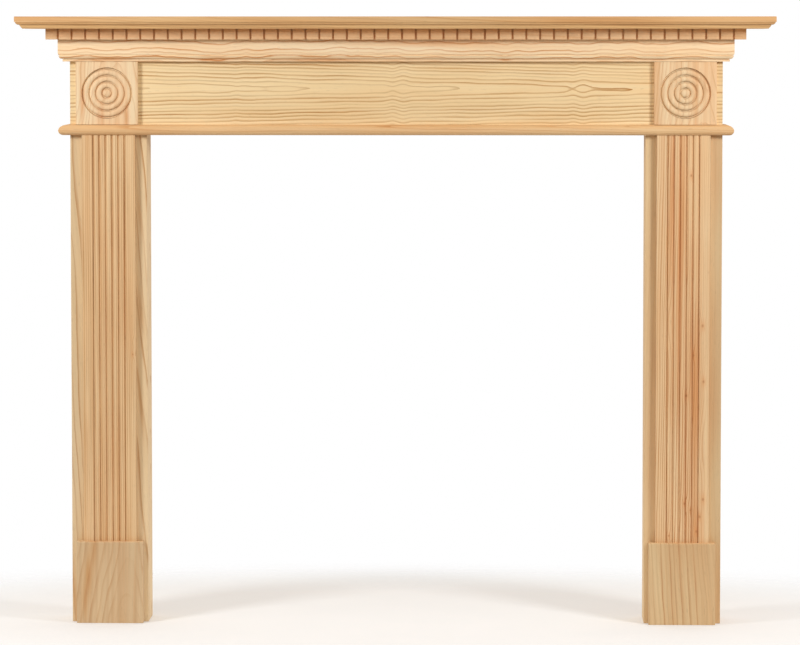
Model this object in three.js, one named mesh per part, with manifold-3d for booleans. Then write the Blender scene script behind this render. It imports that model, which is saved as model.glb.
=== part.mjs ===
// Pine fireplace mantelpiece: a moulded shelf on dentils and a cornice, a frieze board between
// two turned corner blocks, an astragal, and two legs with reeded pilasters on plinth blocks.
// Millimetres, +Z up, +X to the right, the front faces -Y and the wall is at +Y.
// The origin is on the floor, in the middle of the width and of the depth.

import * as THREE from 'three';
import { mergeVertices } from 'three/addons/utils/BufferGeometryUtils.js';
import Module from 'manifold-3d';

const wasm = await Module();
wasm.setup();

// Driving sizes of the whole
const SHELF_LENGTH = 1372;
const SHELF_DEPTH = 178;
const SHELF_THICKNESS = 22;
const LEG_SPAN = 1190;
const LEG_WIDTH = 140;
const CARCASE_DEPTH = 86;
const BOARD = 20;
const OPENING_HEIGHT = 895;

// Astragal, a round-nosed band under the frieze
const ASTRAGAL_HEIGHT = 19;
const ASTRAGAL_PROJECTION = 20;
const ASTRAGAL_NOSE = 11;
const ASTRAGAL_STEPS = 12;

// Corner blocks with turned rings
const BLOCK_WIDTH = 113.5;
const BLOCK_HEIGHT = 115;
const BLOCK_THICKNESS = 10;
const BLOCK_OUTWARD = 2;
const RING_GROOVES = [8.8, 20.4, 32.2, 44.5];
const RING_GROOVE_DEPTH = 4;
const RING_GROOVE_FLOOR = 0.8;
const RING_CROWN_DEPTH = 0.4;
const RING_OUTER_SLOPE = 1.6;
const RING_STEPS = 5;
const RING_SEGMENTS = 40;
const RING_CUT_CLEARANCE = 2;

// Cornice moulding: a flat face, an ovolo and a narrow fillet at the foot
const CORNICE_HEIGHT = 59.5;
const CORNICE_PROJECTION = 20;
const CORNICE_FILLET_PROJECTION = 12;
const CORNICE_FILLET_HEIGHT = 4.8;
const CORNICE_QUIRK = 1;
const CORNICE_OVOLO_HEIGHT = 13;
const CORNICE_OVOLO_STEPS = 6;

// Dentil strips, planted on the cornice under the shelf
const DENTIL_HEIGHT = 19.5;
const DENTIL_PROJECTION = 20;
const DENTIL_PITCH = 25;
const DENTIL_SLOT_WIDTH = 3.5;
const DENTIL_SLOT_DEPTH = 9;
const DENTIL_FRONT_SLOTS = 50;
const DENTIL_RETURN_SLOTS = 4;

// Shelf edge: fillet, ovolo and cavetto, each stepped in from the one above
const SHELF_FILLET = 10;
const SHELF_FILLET_STEP = 2.5;
const SHELF_OVOLO = 6.5;
const SHELF_OVOLO_STEP = 2;
const SHELF_CAVETTO = 5;
const SHELF_ARRIS = 1;
const SHELF_CURVE_STEPS = 5;

// Reeded pilasters: flat margins, quirks and convex reeds. Pilaster and plinth stand a little
// nearer to the opening than the middle of the leg.
const PILASTER_WIDTH = 98;
const PILASTER_THICKNESS = 13;
const PILASTER_INWARD = 1;
const REED_COUNT = 5;
const REED_PITCH = 11.6;
const REED_QUIRK_WIDTH = 1.8;
const REED_DEPTH = 4;
const REED_STEPS = 8;

// Plinth blocks at the foot of each leg
const PLINTH_WIDTH = 122;
const PLINTH_HEIGHT = 150;
const PLINTH_THICKNESS = 22;
const PLINTH_ARRIS = 2;

// Colours of the separate boards
const PINE = {
  shelf: 0xe0b070,
  dentils: 0xd9a670,
  cornice: 0xeec190,
  frieze: 0xeed2a0,
  astragal: 0xe2b070,
  block: 0xecc08e,
  leg: 0xe9c793,
  pilaster: 0xe6b985,
  plinth: 0xd8b482,
};
const PINE_ROUGHNESS = 0.6;

// Levels and planes worked out from the driving sizes
const WALL_Y = SHELF_DEPTH / 2;
const FACE_Y = WALL_Y - CARCASE_DEPTH;
const BOARD_BACK_Y = FACE_Y + BOARD;
const CARCASE_SIDE_X = LEG_SPAN / 2;
const LEG_CENTRE_X = CARCASE_SIDE_X - LEG_WIDTH / 2;
const BLOCK_BASE_Z = OPENING_HEIGHT + ASTRAGAL_HEIGHT;
const CORNICE_BASE_Z = BLOCK_BASE_Z + BLOCK_HEIGHT;
const SHELF_BASE_Z = CORNICE_BASE_Z + CORNICE_HEIGHT;
const DENTIL_BASE_Z = SHELF_BASE_Z - DENTIL_HEIGHT;
const CORNICE_SIDE_X = CARCASE_SIDE_X + CORNICE_PROJECTION;
const CORNICE_FACE_Y = FACE_Y - CORNICE_PROJECTION;
const DENTIL_SIDE_X = CORNICE_SIDE_X + DENTIL_PROJECTION;
const DENTIL_FACE_Y = CORNICE_FACE_Y - DENTIL_PROJECTION;

const SIDES = [
  { name: 'left', sign: -1 },
  { name: 'right', sign: 1 },
];

// A section is first run over a unit length, and corners closer than this are one corner
const UNIT_RUN = 1;
const CORNER_TOLERANCE = 1e-4;

const mantelpiece = new THREE.Group();

function addPiece(name, geometry, colour) {
  const material = new THREE.MeshStandardMaterial({
    color: colour,
    roughness: PINE_ROUGHNESS,
    metalness: 0,
  });
  const mesh = new THREE.Mesh(geometry, material);
  mesh.name = name;
  mantelpiece.add(mesh);
  return mesh;
}

// A plain sawn board between two corners
function boardGeometry(low, high) {
  const size = high.map((value, axis) => value - low[axis]);
  const centre = high.map((value, axis) => (value + low[axis]) / 2);
  const geometry = new THREE.BoxGeometry(size[0], size[1], size[2]);
  return geometry.translate(centre[0], centre[1], centre[2]);
}

// Points along a quarter or half of an ellipse, from one angle to another
function ellipsePoints(centre, radii, fromAngle, toAngle, steps) {
  const points = [];
  for (let step = 0; step <= steps; step += 1) {
    const angle = THREE.MathUtils.degToRad(fromAngle + ((toAngle - fromAngle) * step) / steps);
    const x = centre[0] + radii[0] * Math.cos(angle);
    const y = centre[1] + radii[1] * Math.sin(angle);
    points.push(new THREE.Vector2(x, y));
  }
  return points;
}

// A shape in plan, raised from one level to another
function raisedPlan(points, baseZ, height) {
  const shape = new THREE.Shape(points);
  const geometry = new THREE.ExtrudeGeometry(shape, { depth: height, bevelEnabled: false });
  return geometry.translate(0, 0, baseZ);
}

// A section of (projection, height) points, run between two ends. The corner function puts
// each point of the section in its place at the near and at the far end.
function runSection(section, corner) {
  const shape = new THREE.Shape(section);
  const geometry = new THREE.ExtrudeGeometry(shape, { depth: UNIT_RUN, bevelEnabled: false });
  const position = geometry.attributes.position;
  for (let index = 0; index < position.count; index += 1) {
    const atFarEnd = position.getZ(index) > UNIT_RUN / 2;
    const [x, y, z] = corner(position.getX(index), position.getY(index), atFarEnd);
    position.setXYZ(index, x, y, z);
  }
  return geometry;
}

// A moulding along the front. Each end runs on by the projection, so it is mitred at 45 degrees.
function frontMoulding(section, baseZ) {
  return runSection(section, (projection, height, atFarEnd) => {
    const end = atFarEnd ? -1 : 1;
    return [end * (CARCASE_SIDE_X + projection), FACE_Y - projection, baseZ + height];
  });
}

// The same moulding on one side, mitred at the front and cut square at the wall
function sideMoulding(section, sign, baseZ) {
  return runSection(section, (projection, height, atFarEnd) => {
    const atWall = atFarEnd === (sign < 0);
    const y = atWall ? WALL_Y : FACE_Y - projection;
    return [sign * (CARCASE_SIDE_X + projection), y, baseZ + height];
  });
}

// Shelf: each level of its edge is a rectangle, set in from the front and the ends
function shelfEdge() {
  const ovoloTop = SHELF_THICKNESS - SHELF_FILLET;
  const ovoloFoot = ovoloTop - SHELF_OVOLO;
  const ovoloInset = SHELF_FILLET_STEP + SHELF_OVOLO;
  const cavettoInset = ovoloInset + SHELF_OVOLO_STEP;
  const ovolo = ellipsePoints(
    [ovoloInset, ovoloTop],
    [SHELF_OVOLO, SHELF_OVOLO],
    180,
    270,
    SHELF_CURVE_STEPS,
  );
  const cavetto = ellipsePoints(
    [cavettoInset, 0],
    [SHELF_CAVETTO, ovoloFoot],
    90,
    0,
    SHELF_CURVE_STEPS,
  );
  return [
    new THREE.Vector2(SHELF_ARRIS, SHELF_THICKNESS),
    new THREE.Vector2(0, SHELF_THICKNESS - SHELF_ARRIS),
    new THREE.Vector2(0, ovoloTop),
    ...ovolo,
    ...cavetto,
  ];
}

function shelfGeometry() {
  const rings = shelfEdge().map((point) => {
    const sideX = SHELF_LENGTH / 2 - point.x;
    const frontY = -SHELF_DEPTH / 2 + point.x;
    const z = SHELF_BASE_Z + point.y;
    return [
      [-sideX, frontY, z],
      [sideX, frontY, z],
      [sideX, WALL_Y, z],
      [-sideX, WALL_Y, z],
    ];
  });
  const corners = 4;
  const index = [];
  for (let ring = 0; ring < rings.length - 1; ring += 1) {
    for (let corner = 0; corner < corners; corner += 1) {
      const upper = ring * corners + corner;
      const upperNext = ring * corners + ((corner + 1) % corners);
      index.push(upper, upper + corners, upperNext);
      index.push(upperNext, upper + corners, upperNext + corners);
    }
  }
  const foot = (rings.length - 1) * corners;
  index.push(0, 1, 2, 0, 2, 3);
  index.push(foot, foot + 2, foot + 1, foot, foot + 3, foot + 2);
  const geometry = new THREE.BufferGeometry();
  geometry.setAttribute('position', new THREE.Float32BufferAttribute(rings.flat(2), 3));
  geometry.setIndex(index);
  return geometry;
}

// Dentils: a strip in plan with narrow slots sawn into its face
function slotPoints(along, face, depthSign) {
  const half = DENTIL_SLOT_WIDTH / 2;
  const floor = face + depthSign * DENTIL_SLOT_DEPTH;
  return [
    [along - half, face],
    [along - half, floor],
    [along + half, floor],
    [along + half, face],
  ];
}

function frontDentils() {
  const points = [];
  points.push(new THREE.Vector2(-CORNICE_SIDE_X, CORNICE_FACE_Y));
  points.push(new THREE.Vector2(-DENTIL_SIDE_X, DENTIL_FACE_Y));
  const firstSlot = (-DENTIL_PITCH * (DENTIL_FRONT_SLOTS - 1)) / 2;
  for (let slot = 0; slot < DENTIL_FRONT_SLOTS; slot += 1) {
    const along = firstSlot + slot * DENTIL_PITCH;
    for (const [x, y] of slotPoints(along, DENTIL_FACE_Y, 1)) {
      points.push(new THREE.Vector2(x, y));
    }
  }
  points.push(new THREE.Vector2(DENTIL_SIDE_X, DENTIL_FACE_Y));
  points.push(new THREE.Vector2(CORNICE_SIDE_X, CORNICE_FACE_Y));
  return raisedPlan(points, DENTIL_BASE_Z, DENTIL_HEIGHT);
}

function sideDentils(sign) {
  const cornerDentil = DENTIL_SIDE_X - (DENTIL_PITCH * (DENTIL_FRONT_SLOTS - 1)) / 2;
  const points = [];
  points.push(new THREE.Vector2(sign * CORNICE_SIDE_X, CORNICE_FACE_Y));
  points.push(new THREE.Vector2(sign * DENTIL_SIDE_X, DENTIL_FACE_Y));
  for (let slot = 0; slot < DENTIL_RETURN_SLOTS; slot += 1) {
    const along = DENTIL_FACE_Y + cornerDentil + slot * DENTIL_PITCH;
    for (const [y, x] of slotPoints(along, DENTIL_SIDE_X, -1)) {
      points.push(new THREE.Vector2(sign * x, y));
    }
  }
  points.push(new THREE.Vector2(sign * DENTIL_SIDE_X, WALL_Y));
  points.push(new THREE.Vector2(sign * CORNICE_SIDE_X, WALL_Y));
  return raisedPlan(points, DENTIL_BASE_Z, DENTIL_HEIGHT);
}

// Cornice section: fillet at the foot, a step, the ovolo, then the flat face
function corniceSection() {
  const ovoloRadius = CORNICE_PROJECTION - CORNICE_FILLET_PROJECTION - CORNICE_QUIRK;
  const ovolo = ellipsePoints(
    [CORNICE_FILLET_PROJECTION + CORNICE_QUIRK, CORNICE_FILLET_HEIGHT + CORNICE_OVOLO_HEIGHT],
    [ovoloRadius, CORNICE_OVOLO_HEIGHT],
    -90,
    0,
    CORNICE_OVOLO_STEPS,
  );
  return [
    new THREE.Vector2(0, 0),
    new THREE.Vector2(CORNICE_FILLET_PROJECTION, 0),
    new THREE.Vector2(CORNICE_FILLET_PROJECTION, CORNICE_FILLET_HEIGHT),
    ...ovolo,
    new THREE.Vector2(CORNICE_PROJECTION, CORNICE_HEIGHT),
    new THREE.Vector2(0, CORNICE_HEIGHT),
  ];
}

// Astragal section: flat above and below, with a half-round nose
function astragalSection() {
  const nose = ellipsePoints(
    [ASTRAGAL_PROJECTION - ASTRAGAL_NOSE, ASTRAGAL_HEIGHT / 2],
    [ASTRAGAL_NOSE, ASTRAGAL_HEIGHT / 2],
    -90,
    90,
    ASTRAGAL_STEPS,
  );
  return [new THREE.Vector2(0, 0), ...nose, new THREE.Vector2(0, ASTRAGAL_HEIGHT)];
}

// Reeded pilaster in plan, with its back on the leg board
function pilasterGeometry(centreX) {
  const frontY = FACE_Y - PILASTER_THICKNESS;
  const quirkY = frontY + REED_DEPTH;
  const reedHalf = (REED_PITCH - REED_QUIRK_WIDTH) / 2;
  const reedsHalf = (REED_PITCH * REED_COUNT + REED_QUIRK_WIDTH) / 2;
  const sideHalf = PILASTER_WIDTH / 2;
  const points = [
    new THREE.Vector2(centreX - sideHalf, FACE_Y),
    new THREE.Vector2(centreX - sideHalf, frontY),
    new THREE.Vector2(centreX - reedsHalf, frontY),
    new THREE.Vector2(centreX - reedsHalf, quirkY),
  ];
  for (let reed = 0; reed < REED_COUNT; reed += 1) {
    const reedX = centreX + (reed - (REED_COUNT - 1) / 2) * REED_PITCH;
    points.push(...ellipsePoints([reedX, quirkY], [reedHalf, REED_DEPTH], 180, 360, REED_STEPS));
  }
  points.push(
    new THREE.Vector2(centreX + reedsHalf, quirkY),
    new THREE.Vector2(centreX + reedsHalf, frontY),
    new THREE.Vector2(centreX + sideHalf, frontY),
    new THREE.Vector2(centreX + sideHalf, FACE_Y),
  );
  return raisedPlan(points, PLINTH_HEIGHT, OPENING_HEIGHT - PLINTH_HEIGHT);
}

// Plinth block, with the top edge of its face softened
function plinthGeometry(centreX) {
  const section = [
    new THREE.Vector2(0, 0),
    new THREE.Vector2(PLINTH_THICKNESS, 0),
    new THREE.Vector2(PLINTH_THICKNESS, PLINTH_HEIGHT - PLINTH_ARRIS),
    new THREE.Vector2(PLINTH_THICKNESS - PLINTH_ARRIS, PLINTH_HEIGHT),
    new THREE.Vector2(0, PLINTH_HEIGHT),
  ];
  return runSection(section, (projection, height, atFarEnd) => {
    const end = atFarEnd ? -1 : 1;
    return [centreX + (end * PLINTH_WIDTH) / 2, FACE_Y - projection, height];
  });
}

// Cutting one closed shape out of another
function toSolid(geometry) {
  const bare = geometry.clone();
  bare.deleteAttribute('normal');
  bare.deleteAttribute('uv');
  const merged = mergeVertices(bare, CORNER_TOLERANCE);
  const corners = merged.index.array;
  const triangles = [];
  for (let first = 0; first < corners.length; first += 3) {
    const [a, b, c] = corners.slice(first, first + 3);
    if (a !== b && b !== c && c !== a) {
      triangles.push(a, b, c);
    }
  }
  return new wasm.Manifold(new wasm.Mesh({
    numProp: 3,
    vertProperties: new Float32Array(merged.attributes.position.array),
    triVerts: new Uint32Array(triangles),
  }));
}

function toGeometry(solid) {
  const mesh = solid.getMesh();
  const geometry = new THREE.BufferGeometry();
  geometry.setAttribute('position', new THREE.Float32BufferAttribute(mesh.vertProperties, 3));
  geometry.setIndex(Array.from(mesh.triVerts));
  return geometry;
}

function cutAway(from, cutter) {
  return toGeometry(toSolid(from).subtract(toSolid(cutter)));
}

// Turned rings: the lathe's cut leaves a button and three rounded rings between four grooves
function ringCutter() {
  const halfFloor = RING_GROOVE_FLOOR / 2;
  const crownHeight = RING_GROOVE_DEPTH - RING_CROWN_DEPTH;
  const points = [];
  let innerRadius = null;
  for (const groove of RING_GROOVES) {
    const outerEdge = groove - halfFloor;
    if (innerRadius === null) {
      const button = ellipsePoints(
        [0, -RING_GROOVE_DEPTH],
        [outerEdge, crownHeight],
        90,
        0,
        RING_STEPS,
      );
      points.push(...button);
    } else {
      const centre = (innerRadius + outerEdge) / 2;
      const half = (outerEdge - innerRadius) / 2;
      const ring = ellipsePoints(
        [centre, -RING_GROOVE_DEPTH],
        [half, crownHeight],
        180,
        0,
        RING_STEPS,
      );
      points.push(...ring);
    }
    innerRadius = groove + halfFloor;
  }
  points.push(new THREE.Vector2(innerRadius, -RING_GROOVE_DEPTH));
  points.push(new THREE.Vector2(innerRadius + RING_OUTER_SLOPE, 0));
  points.push(new THREE.Vector2(innerRadius + RING_OUTER_SLOPE, RING_CUT_CLEARANCE));
  points.push(new THREE.Vector2(0, RING_CUT_CLEARANCE));
  return new THREE.LatheGeometry(points, RING_SEGMENTS);
}

function cornerBlock(centreX) {
  const frontY = FACE_Y - BLOCK_THICKNESS;
  const block = boardGeometry(
    [centreX - BLOCK_WIDTH / 2, frontY, BLOCK_BASE_Z],
    [centreX + BLOCK_WIDTH / 2, FACE_Y, BLOCK_BASE_Z + BLOCK_HEIGHT],
  );
  const rings = ringCutter();
  rings.rotateX(Math.PI);
  rings.translate(centreX, frontY, BLOCK_BASE_Z + BLOCK_HEIGHT / 2);
  return cutAway(block, rings);
}

// Shelf, dentils and cornice
addPiece('shelf', shelfGeometry(), PINE.shelf);
addPiece('dentil_strip_front', frontDentils(), PINE.dentils);
const cornice = corniceSection();
addPiece('cornice_front', frontMoulding(cornice, CORNICE_BASE_Z), PINE.cornice);

// Header: the frieze board across the front, and the soffit over the opening
const friezeBoard = boardGeometry(
  [-CARCASE_SIDE_X, FACE_Y, OPENING_HEIGHT],
  [CARCASE_SIDE_X, BOARD_BACK_Y, SHELF_BASE_Z],
);
addPiece('frieze_board', friezeBoard, PINE.frieze);
const soffit = boardGeometry(
  [-CARCASE_SIDE_X + BOARD, BOARD_BACK_Y, OPENING_HEIGHT],
  [CARCASE_SIDE_X - BOARD, WALL_Y, OPENING_HEIGHT + BOARD],
);
addPiece('header_soffit', soffit, PINE.leg);

const astragal = astragalSection();
addPiece('astragal_front', frontMoulding(astragal, OPENING_HEIGHT), PINE.astragal);

// Everything that comes once on each side
for (const { name, sign } of SIDES) {
  const legX = sign * LEG_CENTRE_X;
  const outerX = sign * (CARCASE_SIDE_X - BOARD / 2);
  const innerX = sign * (CARCASE_SIDE_X - LEG_WIDTH + BOARD / 2);

  addPiece(`dentil_strip_${name}`, sideDentils(sign), PINE.dentils);
  const corniceSide = sideMoulding(cornice, sign, CORNICE_BASE_Z);
  addPiece(`cornice_${name}`, corniceSide, PINE.cornice);
  const astragalSide = sideMoulding(astragal, sign, OPENING_HEIGHT);
  addPiece(`astragal_${name}`, astragalSide, PINE.astragal);

  const headerEnd = boardGeometry(
    [outerX - BOARD / 2, BOARD_BACK_Y, OPENING_HEIGHT],
    [outerX + BOARD / 2, WALL_Y, SHELF_BASE_Z],
  );
  addPiece(`header_end_${name}`, headerEnd, PINE.frieze);
  addPiece(`corner_block_${name}`, cornerBlock(legX + sign * BLOCK_OUTWARD), PINE.block);

  const legBoard = boardGeometry(
    [legX - LEG_WIDTH / 2, FACE_Y, 0],
    [legX + LEG_WIDTH / 2, BOARD_BACK_Y, OPENING_HEIGHT],
  );
  addPiece(`leg_board_${name}`, legBoard, PINE.leg);
  const legReturns = { outer: outerX, inner: innerX };
  for (const [place, x] of Object.entries(legReturns)) {
    const legReturn = boardGeometry(
      [x - BOARD / 2, BOARD_BACK_Y, 0],
      [x + BOARD / 2, WALL_Y, OPENING_HEIGHT],
    );
    addPiece(`leg_${place}_${name}`, legReturn, PINE.leg);
  }
  const pilasterX = legX - sign * PILASTER_INWARD;
  addPiece(`pilaster_${name}`, pilasterGeometry(pilasterX), PINE.pilaster);
  addPiece(`plinth_${name}`, plinthGeometry(pilasterX), PINE.plinth);
}

export default mantelpiece;
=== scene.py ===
# %% [markdown]
# A pine fireplace mantelpiece.
# A joiner makes this object from planed boards and machined mouldings: two box legs, a header
# with a frieze board, turned corner blocks, and a shelf on a row of dentils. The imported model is
# the frame: it holds each piece's place and size, and every piece below is built to fit it.
# Lengths are in metres, as Blender counts, and sizes given in millimetres are multiplied by MM.

# %% Load the frame
import math

import bmesh
import bpy
from mathutils import Euler, Matrix, Vector


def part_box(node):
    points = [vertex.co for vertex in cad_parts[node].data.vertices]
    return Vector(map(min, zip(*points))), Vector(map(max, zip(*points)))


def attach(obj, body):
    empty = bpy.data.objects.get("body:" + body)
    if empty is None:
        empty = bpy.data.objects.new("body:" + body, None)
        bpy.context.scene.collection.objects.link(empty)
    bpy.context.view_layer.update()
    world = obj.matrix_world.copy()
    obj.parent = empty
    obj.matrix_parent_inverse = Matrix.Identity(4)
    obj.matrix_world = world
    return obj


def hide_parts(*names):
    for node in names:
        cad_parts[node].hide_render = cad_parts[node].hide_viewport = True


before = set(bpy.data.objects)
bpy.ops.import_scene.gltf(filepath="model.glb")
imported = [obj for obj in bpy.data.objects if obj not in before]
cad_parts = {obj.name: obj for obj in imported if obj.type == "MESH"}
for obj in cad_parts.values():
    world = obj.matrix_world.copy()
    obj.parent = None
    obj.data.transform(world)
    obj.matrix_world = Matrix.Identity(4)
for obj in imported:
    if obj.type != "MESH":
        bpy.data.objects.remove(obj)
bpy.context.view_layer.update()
MM = 0.001
print("nodes in the frame:", len(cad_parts))

# %% [markdown]
# The camera.
# A studio picture of a wide flat object is taken from far off with a long lens, so its verticals
# stay almost upright. The camera stands 7.4 m away, a little to the right of the middle and almost
# level with the shelf, so the undersides stay hidden, and it looks slightly down. The lens follows
# from the picture: a focal length counted in pixels, over the picture's width, times the sensor's
# width. A very small shift of the lens sets the height of the object in the frame.

# %% Camera
IMAGE_WIDTH = 800
FOCAL_PIXELS = 4058
CAMERA_PLACE = Vector((0.190, -7.400, 1.070))
CAMERA_YAW = math.radians(-1.410)
CAMERA_PITCH = math.radians(-3.772)
LENS_SHIFT = -0.02

lens = bpy.data.cameras.new("long_lens")
lens.sensor_width = 36
lens.lens = lens.sensor_width * FOCAL_PIXELS / IMAGE_WIDTH
lens.shift_y = LENS_SHIFT
lens.clip_end = 100
camera = bpy.data.objects.new("camera", lens)
bpy.context.scene.collection.objects.link(camera)
looking = Vector((
    math.sin(CAMERA_YAW) * math.cos(CAMERA_PITCH),
    math.cos(CAMERA_YAW) * math.cos(CAMERA_PITCH),
    math.sin(CAMERA_PITCH),
))
camera.location = CAMERA_PLACE
camera.rotation_euler = looking.to_track_quat("-Z", "Y").to_euler()
bpy.context.scene.camera = camera
print("lens in mm:", round(lens.lens, 1))

# %% [markdown]
# The light.
# The mouldings are shown by two soft boxes, one out to each side and a little above the shelf.
# Their shadows are short, and they fall towards the opening on both legs. One alone would light
# one leg from its front and leave the other's reeds flat. A white surround fills the rest.

# %% Soft boxes
SOFT_BOX_SIZE = 0.38
SOFT_BOX_POWER = 13.7
SOFT_BOX_PLACE = Vector((1.38, -1.10, 1.39))
SOFT_BOX_AIM = Vector((0.25, 0.0, 0.72))


def soft_box(name, side):
    light = bpy.data.lights.new(name, "AREA")
    light.shape = "SQUARE"
    light.size = SOFT_BOX_SIZE
    light.energy = SOFT_BOX_POWER
    lamp = bpy.data.objects.new(name, light)
    bpy.context.scene.collection.objects.link(lamp)
    mirrored = Vector((side, 1, 1))
    lamp.location = SOFT_BOX_PLACE * mirrored
    aim = SOFT_BOX_AIM * mirrored - lamp.location
    lamp.rotation_euler = aim.to_track_quat("-Z", "Y").to_euler()
    return lamp


soft_boxes = [soft_box("left_soft_box", -1), soft_box("right_soft_box", 1)]
bpy.context.scene.view_settings.view_transform = "Standard"
print("soft boxes:", [tuple(round(v, 2) for v in lamp.location) for lamp in soft_boxes])

# %% [markdown]
# Two helpers for every node tree.
# Colours are picked as sRGB hex values, the way a screen shows them, and Blender wants them
# linear, so one function turns them. A second function adds a node, gives it its settings, and
# fills or links its sockets, found by identifier or by name.

# %% Colour and node helpers
def linear(hex_colour):
    channels = [int(hex_colour[start:start + 2], 16) / 255 for start in (1, 3, 5)]
    straight = [c / 12.92 if c <= 0.04045 else ((c + 0.055) / 1.055) ** 2.4 for c in channels]
    return (*straight, 1.0)


def find_socket(sockets, key):
    matches = [s for s in sockets if s.identifier == key] or [s for s in sockets if s.name == key]
    return matches[0]


def add_node(tree, kind, settings=None, inputs=None):
    made = tree.nodes.new(kind)
    for key, value in (settings or {}).items():
        setattr(made, key, value)
    for key, value in (inputs or {}).items():
        socket = made.inputs[key] if isinstance(key, int) else find_socket(made.inputs, key)
        if isinstance(value, bpy.types.Node):
            value = value.outputs[0]
        if isinstance(value, bpy.types.NodeSocket):
            tree.links.new(value, socket)
        else:
            socket.default_value = value
    return made


print("straw in linear light:", [round(c, 3) for c in linear("#f0d5a0")])

# %% [markdown]
# The surround.
# A white room lights the object from all round. Its light is weaker from below, so undersides and
# grooves stay darker, and stronger from behind the object, where a studio's backdrop is lit. The
# camera sees plain white instead, because a surround that lit at full strength would wash the
# mouldings out.

# %% Surround
SURROUND_ABOVE = 0.51
SURROUND_BELOW = 0.25
BACKDROP_GLOW = 0.45

world = bpy.data.worlds.new("white_surround")
bpy.context.scene.world = world
world.use_nodes = True
world.node_tree.nodes.clear()
seen = add_node(world.node_tree, "ShaderNodeLightPath")
direction = add_node(world.node_tree, "ShaderNodeTexCoord")
parts = add_node(world.node_tree, "ShaderNodeSeparateXYZ", {}, {0: direction.outputs["Generated"]})
overhead = add_node(world.node_tree, "ShaderNodeMapRange", {"interpolation_type": "SMOOTHSTEP"}, {
    "Value": parts.outputs["Z"],
    "From Min": -0.25,
    "From Max": 0.15,
    "To Min": SURROUND_BELOW,
    "To Max": SURROUND_ABOVE,
})
behind = add_node(world.node_tree, "ShaderNodeMapRange", {"interpolation_type": "SMOOTHSTEP"}, {
    "Value": parts.outputs["Y"],
    "From Min": 0.0,
    "From Max": 0.6,
    "To Min": 0.0,
    "To Max": BACKDROP_GLOW,
})
strength = add_node(world.node_tree, "ShaderNodeMath", {"operation": "ADD"}, {0: overhead, 1: behind})
as_light = add_node(world.node_tree, "ShaderNodeBackground", {}, {
    "Color": linear("#fff2e4"),
    "Strength": strength,
})
as_backdrop = add_node(world.node_tree, "ShaderNodeBackground", {}, {
    "Color": linear("#ffffff"),
    "Strength": 1.0,
})
surround = add_node(world.node_tree, "ShaderNodeMixShader", {}, {
    0: seen.outputs["Is Camera Ray"],
    1: as_light,
    2: as_backdrop,
})
add_node(world.node_tree, "ShaderNodeOutputWorld", {}, {"Surface": surround})
print("surround lights at", SURROUND_ABOVE, "above and", SURROUND_BELOW, "below")

# %% [markdown]
# The floor.
# A pale painted floor takes the soft shadows where the legs stand. It could be a large plane, but
# its far edge would then cut across the picture behind the opening. So it fades out with distance,
# in an oval that reaches further to the sides than to the front and back, and a faint mottle keeps
# the paint from looking like plastic. It lies a hair below the object's underside.

# %% Floor
FLOOR_HALF = 6.0
FLOOR_DROP = 0.4 * MM
FADE_FROM = 0.7
FADE_TO = 1.5
FLOOR_STRETCH = Vector((1.0, 1.7, 1.0))

paint = bpy.data.materials.new("pale_matt_floor_paint")
paint.use_nodes = True
paint.node_tree.nodes.clear()
spot = add_node(paint.node_tree, "ShaderNodeTexCoord")
mottle = add_node(paint.node_tree, "ShaderNodeTexNoise", {}, {
    "Vector": spot.outputs["Object"],
    "Scale": 9.0,
    "Detail": 3.0,
})
tone = add_node(paint.node_tree, "ShaderNodeValToRGB", {}, {"Fac": mottle.outputs["Fac"]})
tone.color_ramp.elements[0].color = linear("#e2e5e8")
tone.color_ramp.elements[1].color = linear("#e8ebee")
oval = add_node(paint.node_tree, "ShaderNodeVectorMath", {"operation": "MULTIPLY"}, {
    0: spot.outputs["Object"],
    1: FLOOR_STRETCH,
})
away = add_node(paint.node_tree, "ShaderNodeVectorMath", {"operation": "LENGTH"}, {0: oval})
fade = add_node(paint.node_tree, "ShaderNodeMapRange", {"interpolation_type": "SMOOTHSTEP"}, {
    "Value": away.outputs["Value"],
    "From Min": FADE_FROM,
    "From Max": FADE_TO,
    "To Min": 1.0,
    "To Max": 0.0,
})
floor_shader = add_node(paint.node_tree, "ShaderNodeBsdfPrincipled", {}, {
    "Base Color": tone,
    "Roughness": 0.8,
    "Specular IOR Level": 0.2,
    "Emission Color": linear("#ffffff"),
    "Emission Strength": 0.2,
    "Alpha": fade,
})
add_node(paint.node_tree, "ShaderNodeOutputMaterial", {}, {"Surface": floor_shader})

floor_mesh = bpy.data.meshes.new("floor")
floor_mesh.from_pydata(
    [(x * FLOOR_HALF, y * FLOOR_HALF, -FLOOR_DROP) for x, y in ((-1, -1), (1, -1), (1, 1), (-1, 1))],
    [],
    [(0, 1, 2, 3)],
)
floor_mesh.materials.append(paint)
floor = bpy.data.objects.new("floor", floor_mesh)
bpy.context.scene.collection.objects.link(floor)
print("floor is pale within", FADE_FROM, "m and gone at", FADE_TO, "m")

# %% [markdown]
# How pine gets its figure.
# A log is a stack of yearly cones, pale early wood that ends in a thin darker line of late wood.
# A saw cuts a flat board through them, so the lines on the board are where its face meets the
# cones: long pointed arches near the middle of a wide board, straight lines towards its edges,
# and fine rings on end grain. So the wood here is a solid pattern, worked out from each point's
# place in its log, and every face of a piece, also a moulded or turned one, is cut through it.
# First, a point of the board and the way the surface faces there are turned into the log, whose
# heart line is its X axis. A log lies along the board, stands upright or lies crosswise.

# %% A point's place in the log
def log_frame(cut):
    upright = 90 if cut.get("upright") else 0
    crosswise = 90 if cut.get("crosswise") else 0
    turn = Euler((0, math.radians(upright + cut.get("lean", 0)), math.radians(crosswise)))
    heart = turn.to_matrix() @ (Vector(cut["heart"]) * MM)
    return turn, Vector((cut.get("along", 0) * MM, 0, 0)) - heart


def into_log(cut, place):
    turn, shift = log_frame(cut)
    return turn.to_matrix() @ (Vector(place) * MM) + shift


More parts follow.
